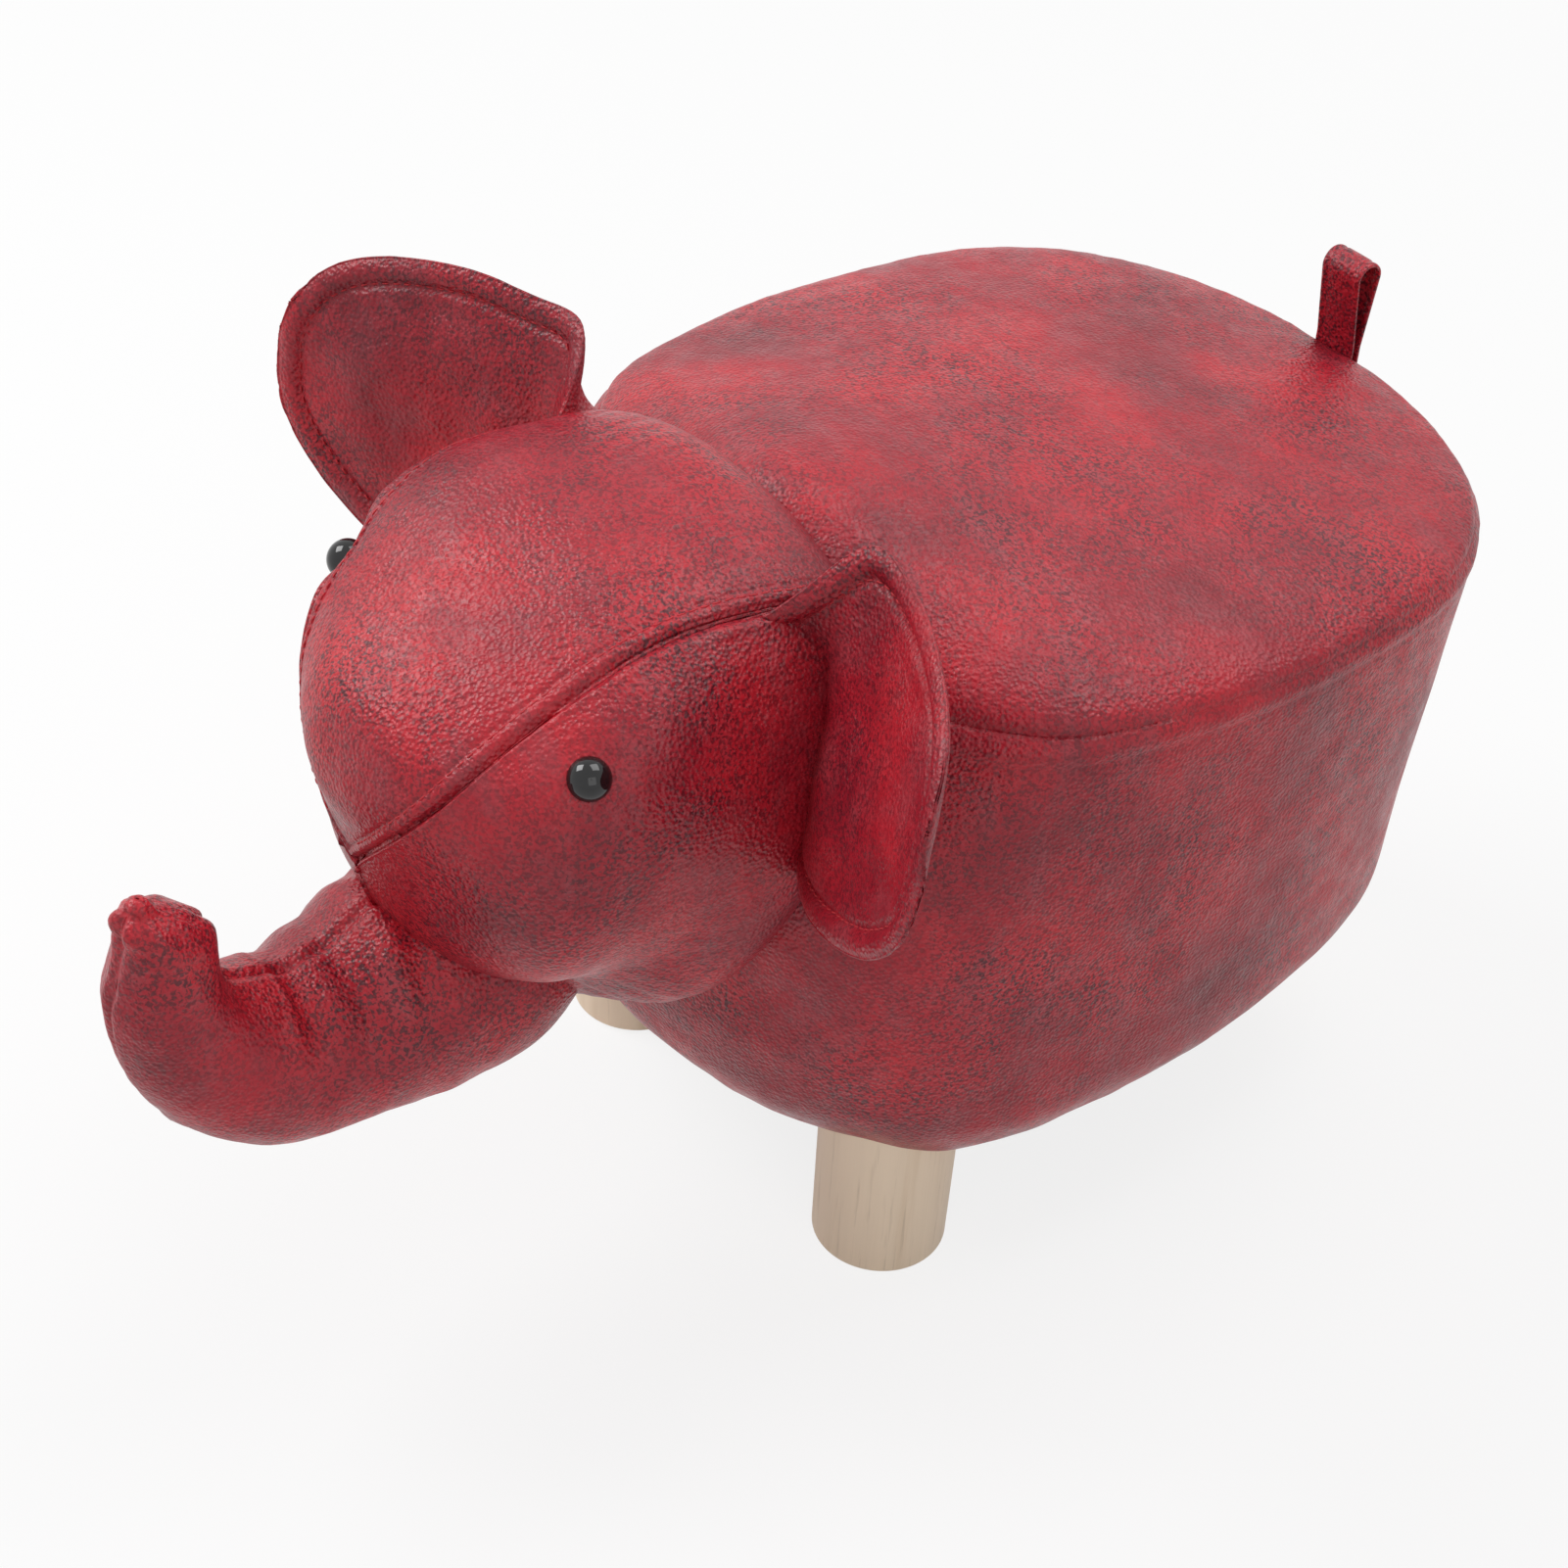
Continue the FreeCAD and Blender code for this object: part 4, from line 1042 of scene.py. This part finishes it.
def tail_path():
    # The strap's middle line in the plane of the loop: up the front, over the top, down the back.
    tilt = math.asin((TAIL_TOP_RADIUS - TAIL_ROOT_RADIUS) / TAIL_HEIGHT)
    front = [(-TAIL_ROOT_RADIUS, z) for z in np.linspace(-TAIL_SUNK, -TAIL_SUNK_GAP, TAIL_SUNK_STEPS)]
    for t in np.linspace(0, 1, TAIL_SIDE_STEPS):
        radius = TAIL_ROOT_RADIUS + (TAIL_TOP_RADIUS - TAIL_ROOT_RADIUS) * t
        front.append((-radius * math.cos(tilt), t * TAIL_HEIGHT - radius * math.sin(tilt)))
    top = []
    for angle in np.linspace(-tilt, math.pi + tilt, TAIL_TOP_STEPS)[1:-1]:
        top.append((-TAIL_TOP_RADIUS * math.cos(angle), TAIL_HEIGHT + TAIL_TOP_RADIUS * math.sin(angle)))
    return np.array(front + top + [(-y, z) for y, z in reversed(front)])


def tail_section():
    # The strap's cross section: across its width, and through it, with a sewn groove near each edge.
    half_width = TAIL_WIDTH / 2
    half_strap = TAIL_STRAP / 2
    ring = []
    for k in range(TAIL_RING):
        angle = 2 * math.pi * k / TAIL_RING
        x = math.copysign(abs(math.cos(angle)) ** 0.35, math.cos(angle)) * half_width
        d = math.copysign(abs(math.sin(angle)) ** 0.6, math.sin(angle)) * half_strap
        from_groove = abs(x) - half_width + TAIL_GROOVE_INSET
        groove = TAIL_GROOVE * math.exp(-(from_groove / TAIL_GROOVE_WIDTH) ** 2)
        ring.append((x, d - math.copysign(groove, d)))
    return ring


def tail_strap():
    root = np.array(joints["tail_fold"]["pos_m"])
    path = tail_path()
    heading = np.gradient(path, axis=0)
    heading = heading / np.linalg.norm(heading, axis=1, keepdims=True)
    outward = np.stack([-heading[:, 1], heading[:, 0]], axis=1)
    points = np.empty((len(path), TAIL_RING, 3))
    for r, (p, n) in enumerate(zip(path, outward)):
        for c, (x, d) in enumerate(tail_section()):
            points[r, c] = root + np.array([x, p[0] + n[0] * d, p[1] + n[1] * d])
    piece = panel("tail_strap", points, True, False, leather, 0.0)
    work = bmesh.new()
    work.from_mesh(piece.data)
    bmesh.ops.holes_fill(work, edges=[e for e in work.edges if e.is_boundary])
    bmesh.ops.recalc_face_normals(work, faces=work.faces)
    work.to_mesh(piece.data)
    work.free()
    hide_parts("tail_loop")
    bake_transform(piece)


def dust_cloth():
    source = frame["nodes"]["dust_cover"].data
    work = bmesh.new()
    work.from_mesh(source)
    bmesh.ops.remove_doubles(work, verts=work.verts, dist=1e-6)
    mesh = bpy.data.meshes.new("dust_cloth")
    work.to_mesh(mesh)
    work.free()
    black = plain("dust_cloth", (0.010, 0.010, 0.011), (0.026, 0.026, 0.028), 700.0, 0.95, bump=0.4)
    mesh.materials.clear()
    mesh.materials.append(black)
    piece = placed("dust_cloth", mesh)
    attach(piece, "stool")
    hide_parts("dust_cover")


def dress_solids():
    pine = wood("pine", (0.880, 0.715, 0.540), (0.760, 0.580, 0.405), 46.0, (1.0, 1.0, 0.045))
    ply = wood("plywood", (0.60, 0.46, 0.30), (0.46, 0.33, 0.20), 30.0, (1.0, 0.08, 1.0))
    timber = wood("frame_timber", (0.62, 0.48, 0.32), (0.48, 0.34, 0.20), 40.0, (1.0, 1.0, 0.06))
    hardboard = plain("hardboard", (0.20, 0.12, 0.07), (0.27, 0.17, 0.10), 500.0, 0.8)
    zinc = plain("zinc_steel", (0.55, 0.55, 0.54), (0.66, 0.66, 0.64), 300.0, 0.35, metallic=1.0)
    nylon = plain("washer_plastic", (0.70, 0.70, 0.68), (0.76, 0.76, 0.73), 200.0, 0.5)
    jet = plain("eye_plastic", (0.005, 0.005, 0.006), (0.008, 0.008, 0.009), 60.0, 0.06, bump=0.0)
    # By a node's full name, or else by the first word of it
    exact = {"frame_screws": zinc, "side_wrap": hardboard, "eye_washers": nylon}
    chosen = {
        "leg": pine, "frame": timber, "base": ply, "top": ply, "hanger": zinc, "tee": zinc, "eye": jet,
    }
    for name, node in frame["nodes"].items():
        if node.hide_render:
            continue
        material = exact.get(name) or chosen[name.split("_")[0]]
        node.data.materials.clear()
        node.data.materials.append(material)
        turned = name.startswith(("eye", "leg"))
        for polygon in node.data.polygons:
            polygon.use_smooth = turned
        if turned:
            node.data.set_sharp_from_angle(angle=math.radians(50))


def background_rays(nodes, links):
    # 1 on rays that show the background: from the camera, a mirror or glass.
    path = nodes.new("ShaderNodeLightPath")
    value = path.outputs["Is Camera Ray"]
    for name in ("Is Glossy Ray", "Is Transmission Ray"):
        either = nodes.new("ShaderNodeMath")
        either.operation = "MAXIMUM"
        links.new(value, either.inputs[0])
        links.new(path.outputs[name], either.inputs[1])
        value = either.outputs[0]
    return value


def pale_floor():
    # White on rays that show the background, with a soft shadow left near the stool.
    mesh = bpy.data.meshes.new("floor")
    corners = [(-1, -1), (1, -1), (1, 1), (-1, 1)]
    mesh.from_pydata([(x * FLOOR_REACH, y * FLOOR_REACH, 0) for x, y in corners], [], [[0, 1, 2, 3]])
    floor = placed("floor", mesh)
    material = bpy.data.materials.new("floor")
    material.use_nodes = True
    nodes = material.node_tree.nodes
    links = material.node_tree.links
    nodes.clear()
    output = nodes.new("ShaderNodeOutputMaterial")
    mixer = nodes.new("ShaderNodeMixShader")
    matt = nodes.new("ShaderNodeBsdfDiffuse")
    matt.inputs["Color"].default_value = (FLOOR_GREY, FLOOR_GREY, FLOOR_GREY, 1)
    glow = nodes.new("ShaderNodeEmission")
    away = nodes.new("ShaderNodeVectorMath")
    away.operation = "LENGTH"
    links.new(nodes.new("ShaderNodeTexCoord").outputs["Object"], away.inputs[0])
    fade = nodes.new("ShaderNodeMapRange")
    fade.inputs["From Min"].default_value = FLOOR_FADE[0]
    fade.inputs["From Max"].default_value = FLOOR_FADE[1]
    fade.inputs["To Min"].default_value = FLOOR_GLOW
    links.new(away.outputs["Value"], fade.inputs["Value"])
    share = nodes.new("ShaderNodeMath")
    share.operation = "MULTIPLY"
    links.new(background_rays(nodes, links), share.inputs[0])
    links.new(fade.outputs["Result"], share.inputs[1])
    links.new(share.outputs[0], mixer.inputs[0])
    links.new(matt.outputs[0], mixer.inputs[1])
    links.new(glow.outputs[0], mixer.inputs[2])
    links.new(mixer.outputs[0], output.inputs["Surface"])
    mesh.materials.append(material)


def studio_world():
    world = bpy.data.worlds.new("studio")
    bpy.context.scene.world = world
    world.use_nodes = True
    nodes = world.node_tree.nodes
    links = world.node_tree.links
    background = nodes["Background"]
    background.inputs["Color"].default_value = (1, 1, 1, 1)
    strength = nodes.new("ShaderNodeMapRange")
    strength.inputs["To Min"].default_value = WORLD_LIGHT
    strength.inputs["To Max"].default_value = 1.0
    links.new(background_rays(nodes, links), strength.inputs["Value"])
    links.new(strength.outputs["Result"], background.inputs["Strength"])


def studio_lamps():
    for name, place, size, power in LAMPS:
        data = bpy.data.lights.new(name, "AREA")
        data.shape = "SQUARE"
        data.size = size
        data.energy = power
        lamp = placed(name, data)
        lamp.location = place
        aim = LAMP_TARGET - Vector(place)
        lamp.rotation_euler = aim.to_track_quat("-Z", "Y").to_euler()


def photo_camera():
    data = bpy.data.cameras.new("camera")
    data.lens = CAMERA_LENS
    data.sensor_width = CAMERA_SENSOR
    camera = placed("camera", data)
    turn = Matrix(camera_axes()).transposed().to_4x4()
    camera.matrix_world = Matrix.Translation(CAMERA_PLACE) @ turn
    bpy.context.scene.camera = camera
    bpy.context.scene.view_settings.view_transform = "Standard"


seat_seam = side_cover()
seat_cover(*seat_seam)
head_covers()
trunk_covers()
ear_covers("left", 1, 61)
ear_covers("right", -1, 71)
tail_strap()
dust_cloth()
dress_solids()
pale_floor()
studio_world()
studio_lamps()
photo_camera()
